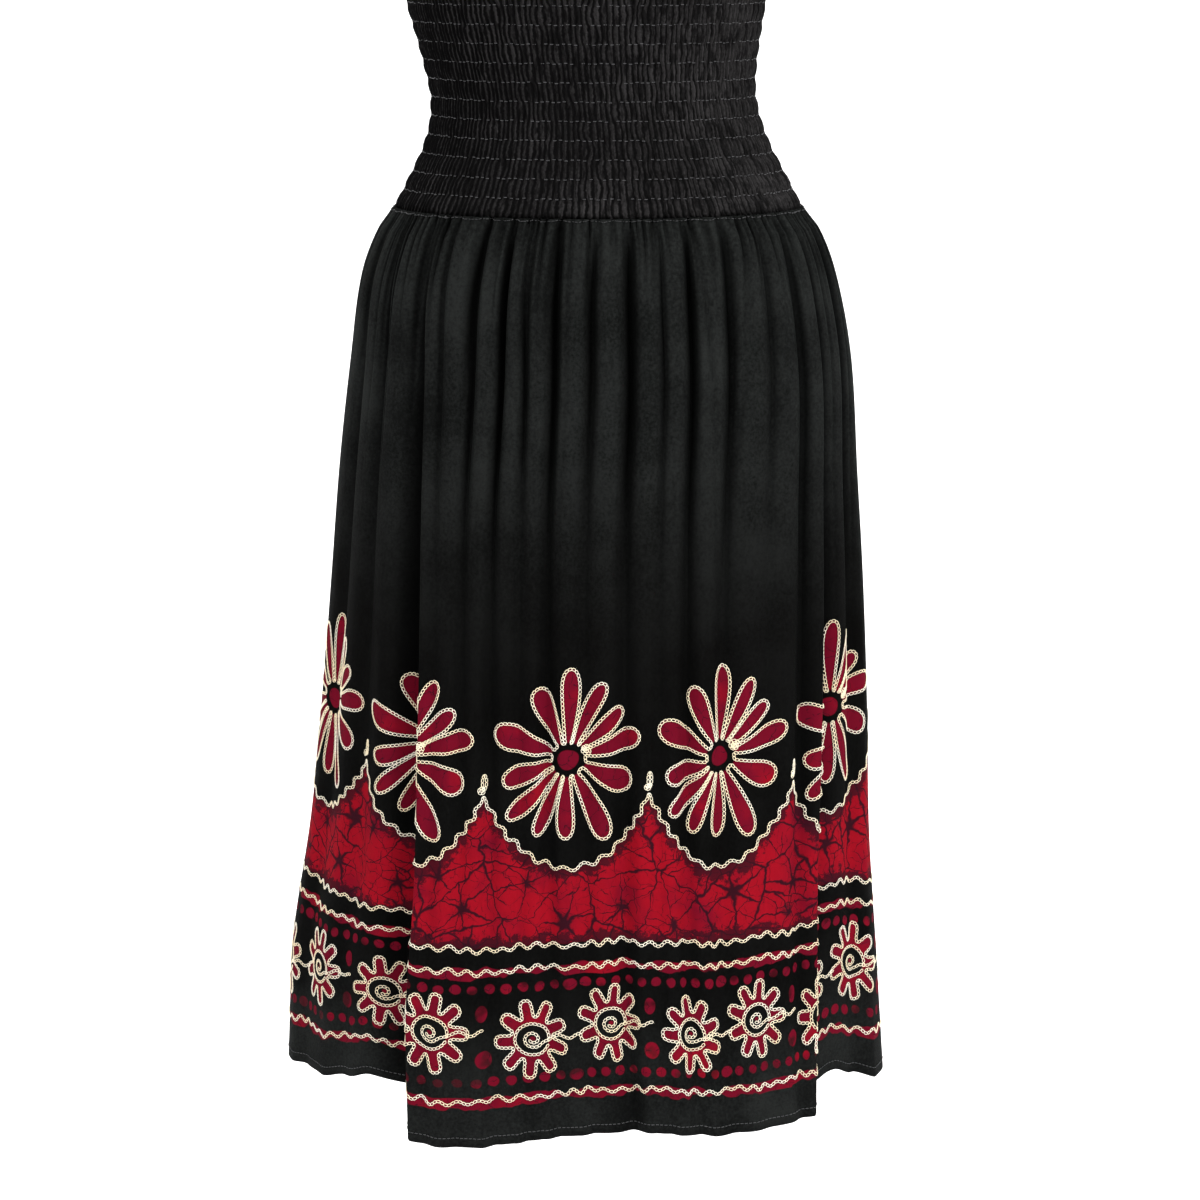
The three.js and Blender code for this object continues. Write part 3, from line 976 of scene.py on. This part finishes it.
class BorderPrint:
    """Nodes of the printed border: where the red dye is, and where the black ran or cracked into it."""

    WEB_CELL, WEB_LINE = 47.0, 0.95
    MESH_CELL, MESH_LINE = 22.0, 0.6
    VEIN_CELL, VEIN_LINE = 13.0, 0.45
    RAYS_PER_NODE = 6
    CRACKLE_BEND = (13.0, 13.0, 0.0)
    SEEP_REACH = 64.0
    SEEP_START = -25.0
    SEEP_WHERE_HEAVY = 4.0

    def __init__(self, motifs, width, height):
        """Makes the group. width and height are those of the flat cloth."""
        self.motifs = motifs
        self.group, start, end = node_group(
            "Batik border",
            [("Flat Cloth", "NodeSocketVector", None)],
            [(name, "NodeSocketFloat") for name in ("Red", "Crackle", "Shade", "Ground")],
        )
        size = (width, height, 1.0)
        self.flat = vector_math(self.group, "MULTIPLY", start.outputs["Flat Cloth"], size)
        across, up, _ = axes_of(self.group, self.flat)
        unevenness = (self.noise(0.09) - 0.5) * 2.0
        u = motifs.even_place(across + unevenness)
        self.x = (u - motifs.shift) % motifs.period - motifs.period / 2
        self.v = up + unevenness
        self.patches = self.noise(0.045)
        bend = noise_node(self.group, self.flat, 0.07, 4.0).outputs["Color"]
        self.bent = vector_math(self.group, "MULTIPLY_ADD", bend, self.CRACKLE_BEND, self.flat)
        self.heaviness = self.noise(0.017, 3.0).step(0.32, 0.66) * 1.7 + 0.6
        self.ragged = self.noise(0.2, 3.0, 0.7)
        below_scallop = motifs.scallop(self.x) - self.v
        above_wave = self.v - motifs.TOP_WAVE
        band = below_scallop.step(0.0, 1.5) * above_wave.step(0.5, 2.0)
        red = band
        for motif in (self.flowers(), self.suns(), self.strips(), self.dots()):
            red = red.greater(motif)
        off_band = band.step(0.8, 0.2)
        crackle = self.crackle(below_scallop.lesser(above_wave * 1.3), off_band)
        shade = self.noise(0.022, 3.0) - off_band * 0.3
        # the black beside the motifs was dyed twice, and its dye thins out up the skirt
        ground = self.v.step(15.0, 130.0) * self.v.step(610.0, 370.0) * 0.8
        for name, value in (("Red", red), ("Crackle", crackle), ("Shade", shade), ("Ground", ground)):
            plug(self.group, value, end.inputs[name])

    def noise(self, scale, detail=2.0, roughness=0.5):
        """Noise on the flat cloth. scale is in waves to a millimetre."""
        return noise(self.group, self.flat, scale, detail, roughness)

    def flowers(self):
        """Petals, found by the angle of the nearest one, and the flower's centre."""
        motifs = self.motifs
        flower_v = self.v - motifs.FLOWERS
        radius = hypotenuse(self.x, flower_v)
        angle = flower_v.math("ARCTAN2", self.x)
        crowded = angle - sine(angle * 2.0 - motifs.CROWD_TURN) * motifs.CROWDING
        number = (crowded / motifs.sector + (0.5 - motifs.FIRST_PETAL)).floor()
        petal_angle = motifs.petal_turn((number + motifs.FIRST_PETAL) * motifs.sector)
        away = angle - petal_angle
        span = motifs.petal_reach(petal_angle) - motifs.PETAL_START
        along = ((radius * away.cos() - motifs.PETAL_START) / span).clamped()
        inside = motifs.petal_side(petal_angle, along) - abs(radius * away.sin())
        petals = inside.step(0.0, 0.8) * along.step(0.0, 0.04)
        return petals.greater(radius.step(motifs.FLOWER_CENTRE + 0.5, motifs.FLOWER_CENTRE - 0.5))

    def suns(self):
        """Two suns to a flower, each with a dot in a ring of bare cloth."""
        motifs = self.motifs
        sun_x = abs(self.x) - motifs.SUN_OFFSET
        sun_v = self.v - motifs.sun_height(self.x.math("SIGN"))
        radius = hypotenuse(sun_x, sun_v)
        wide_x, low_v = sun_x * motifs.SUN_NARROWING, sun_v / motifs.SUN_STRETCH
        inside_rays = motifs.sun_edge(low_v.math("ARCTAN2", wide_x)) - hypotenuse(wide_x, low_v)
        outside_ring = radius.step(motifs.SUN_RING - 0.5, motifs.SUN_RING + 0.5)
        return (inside_rays.step(0.0, 0.8) * outside_ring).greater(radius.step(2.6, 1.6))

    def dots(self):
        """Two rows of dots, a longer one under each flower, and large ones between pairs of suns.

        Some took little dye.
        """
        motifs = self.motifs
        pitch = motifs.period / motifs.DOTS_PER_REPEAT
        dot_x = (self.x + pitch / 2) % pitch - pitch / 2
        middle = (motifs.LOW_DOTS + motifs.HIGH_DOTS) / 2
        dot_v = abs(self.v - middle) - (motifs.HIGH_DOTS - middle)
        small = hypotenuse(dot_x, dot_v) - self.patches * 3.2 + 1.6
        longer = hypotenuse(self.x / 1.4, dot_v / 1.15)
        dots = small.lesser(longer).step(motifs.DOT + 0.5, motifs.DOT - 0.4)
        for width, height, above in (motifs.UPPER_DOT, motifs.LOWER_DOT):
            beside_axis = (motifs.period / 2 - abs(self.x)) / width
            large = hypotenuse(beside_axis, (self.v - (motifs.SUNS + above)) / height)
            dots = dots.greater(large.step(1.06, 0.95))
        return dots * (self.patches.step(0.36, 0.5) * 0.7 + 0.3)

    def strips(self):
        """The red strips that the two lower waves run in. They thin out in places."""
        motifs = self.motifs
        from_hem = abs(self.v - (motifs.HEM_WAVE - motifs.STRIP_DROP))
        from_middle = abs(self.v - (motifs.MIDDLE_WAVE - motifs.STRIP_DROP))
        half_height = (self.patches * 18.0 - 5.0).lesser(motifs.STRIP_HALF_HEIGHT)
        return (from_hem.lesser(from_middle) - half_height).step(0.5, -0.5)

    def crackle(self, inside_band, off_band):
        """Black in the red: a web where the wax broke, fine veins, and what seeped in from the edges."""
        veins = self.edges(self.VEIN_CELL, self.VEIN_LINE) * self.ragged.step(0.4, 0.55)
        mesh = self.edges(self.MESH_CELL, self.MESH_LINE) * self.patches.step(0.42, 0.5)
        lines = (self.web() * self.patches.step(0.15, 0.25)).greater(mesh).greater(veins * 0.7)
        seep = self.noise(0.1, 5.0, 0.75) * self.SEEP_REACH + self.SEEP_START
        seep = seep + self.heaviness * self.SEEP_WHERE_HEAVY
        bled = (inside_band - seep).step(2.0, -4.0)
        return (lines.greater(bled * 0.88) * (1.0 - off_band)).greater(veins * off_band * 0.85)

    def web(self):
        """Bent lines from each node of a net to its neighbours, wider near the nodes, and the nodes."""
        cell, line = self.WEB_CELL, self.heaviness * self.WEB_LINE
        nearest = self.cells("F1", cell)
        away = vector_math(self.group, "SUBTRACT", self.bent, nearest.outputs["Position"])
        away_x, away_v, _ = axes_of(self.group, away)
        from_node = hypotenuse(away_x, away_v)
        ray_width = ((from_node / (cell * -0.17)).math("EXPONENT") * 1.8 + 0.55) * line
        start_turn = Wire(self.group, nearest.outputs["Color"]) * 20.0
        turn = away_v.math("ARCTAN2", away_x) * (self.RAYS_PER_NODE / 2) + start_turn
        rays = (abs(turn.sin()) * from_node * (2 / self.RAYS_PER_NODE) / ray_width).step(1.0, 0.3)
        knots = (from_node + self.ragged * (cell * 0.4)).step(cell * 0.36, cell * 0.21)
        return rays.greater(knots).greater(self.edges(cell, line))

    def edges(self, cell, line):
        """Lines round the cells of a net."""
        across = Wire(self.group, self.cells("DISTANCE_TO_EDGE", cell).outputs["Distance"]) * cell
        return (across / line).step(1.0, 0.25)

    def cells(self, feature, cell):
        """A Voronoi node on the bent cloth, with cells of about this size."""
        node = self.group.nodes.new("ShaderNodeTexVoronoi")
        node.voronoi_dimensions = "2D"
        node.feature = feature
        node.inputs["Scale"].default_value = 1 / cell
        self.group.links.new(self.bent, node.inputs["Vector"])
        return node


# Materials

DYED_BLACK = (0.0012, 0.0010, 0.0009)
RED_GRAIN = (0.12, 0.003, 0.009)
CRACKED_RED = (0.011, 0.004, 0.008)


def object_coordinates(tree):
    """The socket of places on a piece, which are the dress's own coordinates."""
    return tree.nodes.new("ShaderNodeTexCoord").outputs["Object"]


def flat_cloth(tree):
    """The socket of flat places on a cloth piece, from 0 to 1 across and up."""
    node = tree.nodes.new("ShaderNodeUVMap")
    node.uv_map = "flat_cloth"
    return node.outputs[0]


def skirt_cloth(settings, border, crepe, border_print):
    """Black crepe, dyed red in the border, with painted shade in its folds and creases."""
    material = bpy.data.materials.new("Black crepe with batik border")
    tree, shader = principled(material, 0.85, specular=0.02)
    weave = add_group(tree, crepe, Vector=object_coordinates(tree))
    tone = Wire(tree, weave.outputs["Tone"])
    dyed = add_group(tree, border_print, Flat_Cloth=flat_cloth(tree))
    black, red = tuple(settings.colour), tuple(border.dye)
    plain = mix_colour(tree, tone.step(0.34, 0.66), times(black, 0.45), times(black, 1.9))
    ground = mix_colour(tree, dyed.outputs["Ground"], plain, DYED_BLACK)
    # Painted shade: the black is darkened towards 0.12 of itself in folds and creases narrower than 45 mm
    fold_shaded_black = mix_colour(tree, painted_shade_factor(tree, 0.045, 2.2), times(black, 0.12), ground)
    deep = (red[0] * 0.45, red[1] * 0.8, red[2] * 1.2)
    warm = mix_colour(tree, Wire(tree, dyed.outputs["Shade"]).step(0.2, 0.55), deep, red)
    grained = mix_colour(tree, tone.step(0.25, 0.75) * 0.3, warm, RED_GRAIN)
    cracked = mix_colour(tree, Wire(tree, dyed.outputs["Crackle"]) * 0.93, grained, CRACKED_RED)
    colour = mix_colour(tree, dyed.outputs["Red"], fold_shaded_black, cracked)
    tree.links.new(colour, shader.inputs["Base Color"])
    bump(tree, shader, weave.outputs["Height"], 0.00035, 0.55)
    return material


def bodice_cloth(settings, crepe):
    """The same crepe, drawn into fine creases by the elastic, which follow the cloth's puckers. Shade in the
    creases and the narrow hollows is painted into its colour.
    """
    material = bpy.data.materials.new("Black shirred crepe")
    tree, shader = principled(material, 0.85, specular=0.04)
    weave = add_group(tree, crepe, Vector=object_coordinates(tree))
    flat = flat_cloth(tree)
    share, up, _ = axes_of(tree, flat)
    height = TOP_EDGE - HIP_SEAM
    rows_down = (up * -height + (height - HEADING)) / BodicePanel.PITCH
    row = rows_down.floor()
    between = abs((rows_down * math.pi).sin()) ** BodicePanel.PUFF_ROUNDNESS
    scatter = noise(tree, flat, 90.0) * 3.2
    phase = pucker_phase(float(settings.puckers), share, row, between) + scatter
    slit = abs((phase * 0.5).cos()).step(0.86, 0.3)
    hair = abs((phase * 1.37 + row * 2.0).cos()).step(0.3, 0.0) * 0.5
    # The crease mask is relief for the bump and also marks where shade is painted into the slits
    crease = slit.greater(hair)
    upright = vector_math(tree, "MULTIPLY", flat, (80.0, 17.0, 0.0))
    # Painted shade: upright streaks of noise darken some creases more, as if they were deeper
    deep_crease_shade = noise(tree, upright, 1.0, 3.0, 0.6).step(0.52, 0.40)
    # Painted shade: the creases, the streaks and the ambient occlusion factor darken the colour towards 0.08
    # of the black
    lit = (1.0 - crease) * (1.0 - deep_crease_shade * 0.75) * painted_shade_factor(tree, 0.006, 1.8)
    tone = Wire(tree, weave.outputs["Tone"])
    black = tuple(settings.colour)
    plain = mix_colour(tree, tone.step(0.34, 0.66), times(black, 0.5), times(black, 2.1))
    colour = mix_colour(tree, lit, times(black, 0.08), plain)
    tree.links.new(colour, shader.inputs["Base Color"])
    bump(tree, shader, Wire(tree, weave.outputs["Height"]) * 0.25 - crease, 0.0012, 0.8)
    return material


def thread_material(name, colour, tint, roughness):
    """Yarn or thread: twisted, a little glossy, and uneven in colour."""
    material = bpy.data.materials.new(name)
    tree, shader = principled(material, roughness, specular=0.4, sheen=0.2)
    place = object_coordinates(tree)
    patches = noise(tree, place, 38.0, 3.0)
    fibres = noise(tree, place, 1500.0)
    tinted = mix_colour(tree, patches.step(0.38, 0.66), tuple(colour), tint)
    shaded = mix_colour(tree, fibres.step(0.35, 0.75) * 0.25, tinted, times(colour, 0.55))
    tree.links.new(shaded, shader.inputs["Base Color"])
    bump(tree, shader, fibres, 0.0003, 0.5)
    return material


# Stitches. Sizes of the straight ones, in metres
DASH_LENGTH = 0.0024
ELASTIC_THREAD = 0.0007
SEWING_THREAD = 0.0006

# Sides of the yarn's section and of a chain link, and how much longer a link is than its stitch
YARN_SIDES = 3
LINK_SIDES = 6
LINK_STRETCH = 1.22

# Places on the cloth, in millimetres. A lift is off the cloth, and an end is from a side seam. The
# waves' lines run on past both seams and are cut at their ends
ELASTIC_LIFT = 0.45
SEAM_LIFT = 0.3
SEAM_STITCH = 3.6
SEAM_END = 2.0
SEAM_BELOW_EDGE = 1.6
HEM_STITCH_LEVEL = 8.0
YARN_LIFT = 0.55
YARN_END = 2.0
WAVE_OVERRUN = 30.0


def stitch_places(lines, length, points_at):
    """Flat places of stitches that are evenly spaced on the hanging cloth, and their steps forward."""
    middles, steps = [], []
    for line in lines:
        spans = np.linalg.norm(np.diff(points_at(line[:, 0], line[:, 1]), axis=0), axis=1)
        arc = np.concatenate([[0], np.cumsum(spans)])
        count = max(int(round(arc[-1] / length)), 1)
        ends = np.linspace(0, arc[-1], count + 1)
        corners = np.stack([np.interp(ends, arc, line[:, 0]), np.interp(ends, arc, line[:, 1])], axis=-1)
        middles.append((corners[1:] + corners[:-1]) / 2)
        steps.append(corners[1:] - corners[:-1])
    return np.concatenate(middles), np.concatenate(steps)


def surface_axes(points_at, flat, step):
    """Place, forward and outward directions of stitches that lie on cloth."""
    probe = 0.6
    unit = step / np.linalg.norm(step, axis=1, keepdims=True)
    place = points_at(flat[:, 0], flat[:, 1])
    ahead = points_at(flat[:, 0] + unit[:, 0] * probe, flat[:, 1] + unit[:, 1] * probe)
    beside = points_at(flat[:, 0] - unit[:, 1] * probe, flat[:, 1] + unit[:, 0] * probe)
    forward = ahead - place
    forward /= np.linalg.norm(forward, axis=1, keepdims=True)
    outward = np.cross(forward, beside - place)
    outward /= np.linalg.norm(outward, axis=1, keepdims=True)
    return place, forward, outward


def stitch_object(name, places, forward, outward, template_group, material):
    """One mesh of stitches: a template that Geometry Nodes puts on every place."""
    cloud = bmesh.new()
    forward_layer = cloud.verts.layers.float_vector.new("forward")
    outward_layer = cloud.verts.layers.float_vector.new("outward")
    for place, ahead, out in zip(places * MM, forward, outward):
        corner = cloud.verts.new(place)
        corner[forward_layer] = ahead
        corner[outward_layer] = out
    mesh = bpy.data.meshes.new(name)
    cloud.to_mesh(mesh)
    cloud.free()
    piece = new_object(name, mesh)
    nodes = piece.modifiers.new("Stitches", "NODES")
    nodes.node_group = template_group
    apply_modifiers(piece)
    piece.data.name = name
    piece.data.materials.clear()
    piece.data.materials.append(material)
    piece.data.shade_smooth()
    return piece


def stitch_group(name, length, width, yarn, closed):
    """Geometry Nodes that put one stitch on each point: a closed chain link, or a straight dash."""
    group = bpy.data.node_groups.new(name, "GeometryNodeTree")
    group.interface.new_socket("Geometry", in_out="INPUT", socket_type="NodeSocketGeometry")
    group.interface.new_socket("Geometry", in_out="OUTPUT", socket_type="NodeSocketGeometry")
    start = group.nodes.new("NodeGroupInput")
    end = group.nodes.new("NodeGroupOutput")
    section = group.nodes.new("GeometryNodeCurvePrimitiveCircle")
    section.inputs["Resolution"].default_value = YARN_SIDES
    section.inputs["Radius"].default_value = yarn / 2
    if closed:
        path = group.nodes.new("GeometryNodeCurvePrimitiveCircle")
        path.inputs["Resolution"].default_value = LINK_SIDES
        path.inputs["Radius"].default_value = 0.5
        shaped = group.nodes.new("GeometryNodeTransform")
        shaped.inputs["Scale"].default_value = (length * LINK_STRETCH - yarn / 2, width - yarn, 1.0)
        group.links.new(path.outputs[0], shaped.inputs[0])
        curve = shaped.outputs[0]
    else:
        path = group.nodes.new("GeometryNodeCurvePrimitiveLine")
        path.inputs["Start"].default_value = (-length / 2, 0, 0)
        path.inputs["End"].default_value = (length / 2, 0, 0)
        curve = path.outputs[0]
    tube = group.nodes.new("GeometryNodeCurveToMesh")
    tube.inputs["Fill Caps"].default_value = not closed
    group.links.new(curve, tube.inputs["Curve"])
    group.links.new(section.outputs[0], tube.inputs["Profile Curve"])

    def attribute(label):
        node = group.nodes.new("GeometryNodeInputNamedAttribute")
        node.data_type = "FLOAT_VECTOR"
        node.inputs["Name"].default_value = label
        return node.outputs["Attribute"]

    turned = group.nodes.new("FunctionNodeAxesToRotation")
    turned.primary_axis = "Z"
    turned.secondary_axis = "X"
    group.links.new(attribute("outward"), turned.inputs["Primary Axis"])
    group.links.new(attribute("forward"), turned.inputs["Secondary Axis"])
    placed = group.nodes.new("GeometryNodeInstanceOnPoints")
    group.links.new(start.outputs[0], placed.inputs["Points"])
    group.links.new(tube.outputs[0], placed.inputs["Instance"])
    group.links.new(turned.outputs[0], placed.inputs["Rotation"])
    real = group.nodes.new("GeometryNodeRealizeInstances")
    group.links.new(placed.outputs[0], real.inputs[0])
    group.links.new(real.outputs[0], end.inputs[0])
    return group


# Operators


class DRESS_OT_skirt(bpy.types.Operator):
    """Makes the skirt's front and back from black crepe with a printed border"""

    bl_idname = "dress.skirt"
    bl_label = "Skirt"

    def execute(self, context):
        settings, border = context.scene.dress_skirt, context.scene.dress_border
        width = settings.panel_width / MM
        motifs = Motifs(width / border.repeats, border.shift / MM)
        height = HIP_SEAM - HEM
        crepe = bpy.data.node_groups.get("Crepe weave") or crepe_group()
        border_print = BorderPrint(motifs, width, height).group
        material = skirt_cloth(settings, border, crepe, border_print)
        for side, facing in FACINGS.items():
            panel = SkirtPanel(facing, width, settings.gathers)
            cloth = cloth_object(
                f"skirt_{side}_cloth",
                settings.columns,
                settings.rows,
                lambda across, up: panel.points(across * width, up * height),
                settings.cloth_thickness,
            )
            cloth.data.materials.append(material)
            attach(cloth, BODY)
            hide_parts(f"skirt_{side}")
        return {"FINISHED"}


class DRESS_OT_bodice(bpy.types.Operator):
    """Makes the shirred front and back of the bodice and the elastic thread that gathers them"""

    bl_idname = "dress.bodice"
    bl_label = "Bodice"

    def execute(self, context):
        settings = context.scene.dress_bodice
        crepe = bpy.data.node_groups.get("Crepe weave") or crepe_group()
        material = bodice_cloth(settings, crepe)
        thread = thread_material("Elastic thread", settings.thread_colour, (0.03, 0.03, 0.033), 0.7)
        dash = stitch_group("Elastic dash", DASH_LENGTH, ELASTIC_THREAD, ELASTIC_THREAD, closed=False)
        height = TOP_EDGE - HIP_SEAM
        for side, facing in FACINGS.items():
            panel = BodicePanel(facing, settings.puckers)
            cloth = cloth_object(
                f"bodice_{side}_cloth",
                settings.puckers * settings.pucker_columns,
                (ELASTIC_ROWS - 1) * settings.row_faces + panel.FRILL_FACES,
                lambda across, up: panel.points(across, HIP_SEAM + up * height),
                settings.cloth_thickness,
            )
            cloth.data.materials.append(material)
            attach(cloth, BODY)
            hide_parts(f"bodice_{side}")
            share, z = panel.elastic_places().T
            place = panel.points(share, z, ELASTIC_LIFT)
            ahead = panel.points(share + 1 / settings.puckers, z, ELASTIC_LIFT) - place
            ahead /= np.linalg.norm(ahead, axis=1, keepdims=True)
            outward = np.cross(ahead, np.tile([0.0, 0.0, 1.0], (len(ahead), 1)))
            elastic = stitch_object(f"elastic_{side}", place, ahead, outward, dash, thread)
            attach(elastic, BODY)
        return {"FINISHED"}


class DRESS_OT_seams(bpy.types.Operator):
    """Sews the skirt's gathered edge and its hem with straight stitches"""

    bl_idname = "dress.seams"
    bl_label = "Seams"

    def execute(self, context):
        skirt, bodice = context.scene.dress_skirt, context.scene.dress_bodice
        width = skirt.panel_width / MM
        height = HIP_SEAM - HEM
        grey = times(bodice.thread_colour, 0.6)
        thread = thread_material("Sewing thread", grey, (0.02, 0.02, 0.022), 0.7)
        dash = stitch_group("Straight stitch", DASH_LENGTH, SEWING_THREAD, SEWING_THREAD, closed=False)
        u = np.arange(SEAM_END, width - SEAM_END, 0.5)
        ragged = 0.5 * np.sin(u * 0.23) + 0.3 * np.sin(u * 0.91)
        hip_seam = np.stack([u, height - SEAM_BELOW_EDGE + ragged], axis=-1)
        hem = np.stack([u, np.full(len(u), HEM_STITCH_LEVEL)], axis=-1)
        for side, facing in FACINGS.items():
            panel = SkirtPanel(facing, width, skirt.gathers)

            def on_panel(u, v):
                return panel.points(u, v, SEAM_LIFT)

            flat, step = stitch_places([hip_seam, hem], SEAM_STITCH, on_panel)
            place, forward, outward = surface_axes(on_panel, flat, step)
            piece = stitch_object(f"seams_{side}", place, forward, outward, dash, thread)
            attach(piece, BODY)
        return {"FINISHED"}


class DRESS_OT_embroidery(bpy.types.Operator):
    """Works the border's flowers, suns, scallops and waves in chain stitch"""

    bl_idname = "dress.embroidery"
    bl_label = "Embroidery"

    def execute(self, context):
        skirt, border = context.scene.dress_skirt, context.scene.dress_border
        width = skirt.panel_width / MM
        motifs = Motifs(width / border.repeats, border.shift / MM)
        yarn = thread_material("Cream yarn", border.yarn_colour, (1.0, 0.94, 0.79), 0.62)
        sizes = (border.stitch_length, border.stitch_width, border.yarn)
        link = stitch_group("Chain link", *sizes, closed=True)
        for side, facing in FACINGS.items():
            panel = SkirtPanel(facing, width, skirt.gathers)

            def on_panel(u, v):
                return panel.points(np.clip(u, 0.0, width), v, YARN_LIFT)

            flowers, suns = [], []
            for repeat in range(-1, border.repeats + 1):
                axis = motifs.shift + (repeat + 0.5) * motifs.period
                seed = 1.7 * repeat + facing
                flowers += motifs.flower(axis, seed) + motifs.scallop_line(axis)
                suns += motifs.sun(axis - motifs.SUN_OFFSET, seed + 1, -1)
                suns += motifs.sun(axis + motifs.SUN_OFFSET, seed + 2.5, 1)
            waves = [
                motifs.wave(base, -WAVE_OVERRUN, width + WAVE_OVERRUN)
                for base in (motifs.HEM_WAVE, motifs.MIDDLE_WAVE, motifs.TOP_WAVE)
            ]
            for name, lines in (("flowers", flowers), ("suns", suns), ("waves", waves)):
                flat, step = stitch_places(motifs.on_cloth(lines), border.stitch_length / MM, on_panel)
                inside = (flat[:, 0] > YARN_END) & (flat[:, 0] < width - YARN_END)
                flat, step = flat[inside], step[inside]
                place, forward, outward = surface_axes(on_panel, flat, step)
                piece = stitch_object(f"{name}_{side}", place, forward, outward, link, yarn)
                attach(piece, BODY)
        return {"FINISHED"}


class DRESS_OT_stage(bpy.types.Operator):
    """Sets up the pale floor, the studio lights and the camera"""

    bl_idname = "dress.stage"
    bl_label = "Stage"

    def execute(self, context):
        settings = context.scene.dress_stage
        self.floor(settings)
        self.lights()
        self.camera(context, settings)
        return {"FINISHED"}

    def floor(self, settings):
        """A floor that curves up into a backdrop behind the dress."""
        sweep = bmesh.new()
        bmesh.ops.create_grid(sweep, x_segments=2, y_segments=40, size=1.0)
        reach, bend, radius, rise, half_width = 7.0, 2.6, 1.2, 6.0, 9.0
        for corner in sweep.verts:
            along = (corner.co.y + 1) / 2 * (reach + bend + rise) - reach
            across = corner.co.x * half_width
            past = along - bend
            turn = min(max(past / radius, 0.0), math.pi / 2)
            climb = max(past - radius * math.pi / 2, 0.0)
            corner.co = Vector(
                (
                    across,
                    min(along, bend) + radius * math.sin(turn),
                    settings.floor_level + radius * (1 - math.cos(turn)) + climb,
                )
            )
        mesh = bpy.data.meshes.new("studio_floor")
        sweep.to_mesh(mesh)
        sweep.free()
        mesh.shade_smooth()
        floor = new_object("studio_floor", mesh)
        material = bpy.data.materials.new("Pale paper")
        tree, shader = principled(material, 0.9, specular=0.1)
        paper = noise(tree, object_coordinates(tree), 2.0, 2.0)
        colour = mix_colour(tree, paper * 0.4, (0.92, 0.92, 0.92), (0.88, 0.88, 0.89))
        tree.links.new(colour, shader.inputs["Base Color"])
        mesh.materials.append(material)

    def lights(self):
        """Large soft lamps at both sides, above and over the backdrop, and a pale sky."""
        dress, backdrop = Vector((0.0, 0.0, -0.35)), Vector((0.0, 3.4, 0.2))
        lamps = (
            ("key_light", (2.1, -1.9, 2.1), dress, 1.1, 152.0),
            ("fill_light", (-1.8, -2.1, 2.5), dress, 1.2, 110.0),
            ("top_light", (0.0, 0.6, 2.6), dress, 2.4, 56.0),
            ("backdrop_light", (0.0, 1.0, 2.2), backdrop, 3.0, 150.0),
        )
        for name, place, target, size, power in lamps:
            light = bpy.data.lights.new(name, "AREA")
            light.energy = power
            light.size = size
            lamp = bpy.data.objects.new(name, light)
            lamp.location = place
            lamp.rotation_euler = (target - Vector(place)).to_track_quat("-Z", "Y").to_euler()
            bpy.context.scene.collection.objects.link(lamp)
        world = bpy.data.worlds.new("Studio")
        world.use_nodes = True
        background = world.node_tree.nodes["Background"]
        background.inputs["Color"].default_value = (1.0, 1.0, 1.0, 1.0)
        background.inputs["Strength"].default_value = 0.3
        bpy.context.scene.world = world
        bpy.context.scene.view_settings.view_transform = "Standard"

    def camera(self, context, settings):
        """The camera, level with the chest and tilted down."""
        data = bpy.data.cameras.new("photo_camera")
        data.sensor_width = 36.0
        data.lens = settings.focal_length
        camera = bpy.data.objects.new("photo_camera", data)
        camera.location = (settings.camera_side, -settings.camera_distance, settings.camera_height)
        camera.rotation_euler = (math.pi / 2 - settings.camera_tilt, 0.0, 0.0)
        context.scene.collection.objects.link(camera)
        context.scene.camera = camera


class DRESS_PT_panel(bpy.types.Panel):
    """Lists the operators that make the dress"""

    bl_idname = "DRESS_PT_panel"
    bl_label = "Dress"
    bl_space_type = "VIEW_3D"
    bl_region_type = "UI"
    bl_category = "Dress"

    def draw(self, context):
        for operator in OPERATORS:
            self.layout.operator(operator.bl_idname)


OPERATORS = (DRESS_OT_skirt, DRESS_OT_bodice, DRESS_OT_seams, DRESS_OT_embroidery, DRESS_OT_stage)
SETTINGS = {
    "dress_skirt": SkirtSettings,
    "dress_bodice": BodiceSettings,
    "dress_border": BorderSettings,
    "dress_stage": StageSettings,
}


def register():
    """Registers the settings, the operators and the panel."""
    for group in SETTINGS.values():
        bpy.utils.register_class(group)
    for cls in (*OPERATORS, DRESS_PT_panel):
        bpy.utils.register_class(cls)
    for name, group in SETTINGS.items():
        setattr(bpy.types.Scene, name, PointerProperty(type=group))


def unregister():
    """Takes the settings, the operators and the panel out again."""
    for name in SETTINGS:
        delattr(bpy.types.Scene, name)
    for cls in (DRESS_PT_panel, *reversed(OPERATORS)):
        bpy.utils.unregister_class(cls)
    for group in SETTINGS.values():
        bpy.utils.unregister_class(group)


def main():
    """Makes the dress and the stage."""
    register()
    bpy.ops.dress.skirt()
    bpy.ops.dress.bodice()
    bpy.ops.dress.seams()
    bpy.ops.dress.embroidery()
    bpy.ops.dress.stage()


if __name__ == "__main__":
    main()
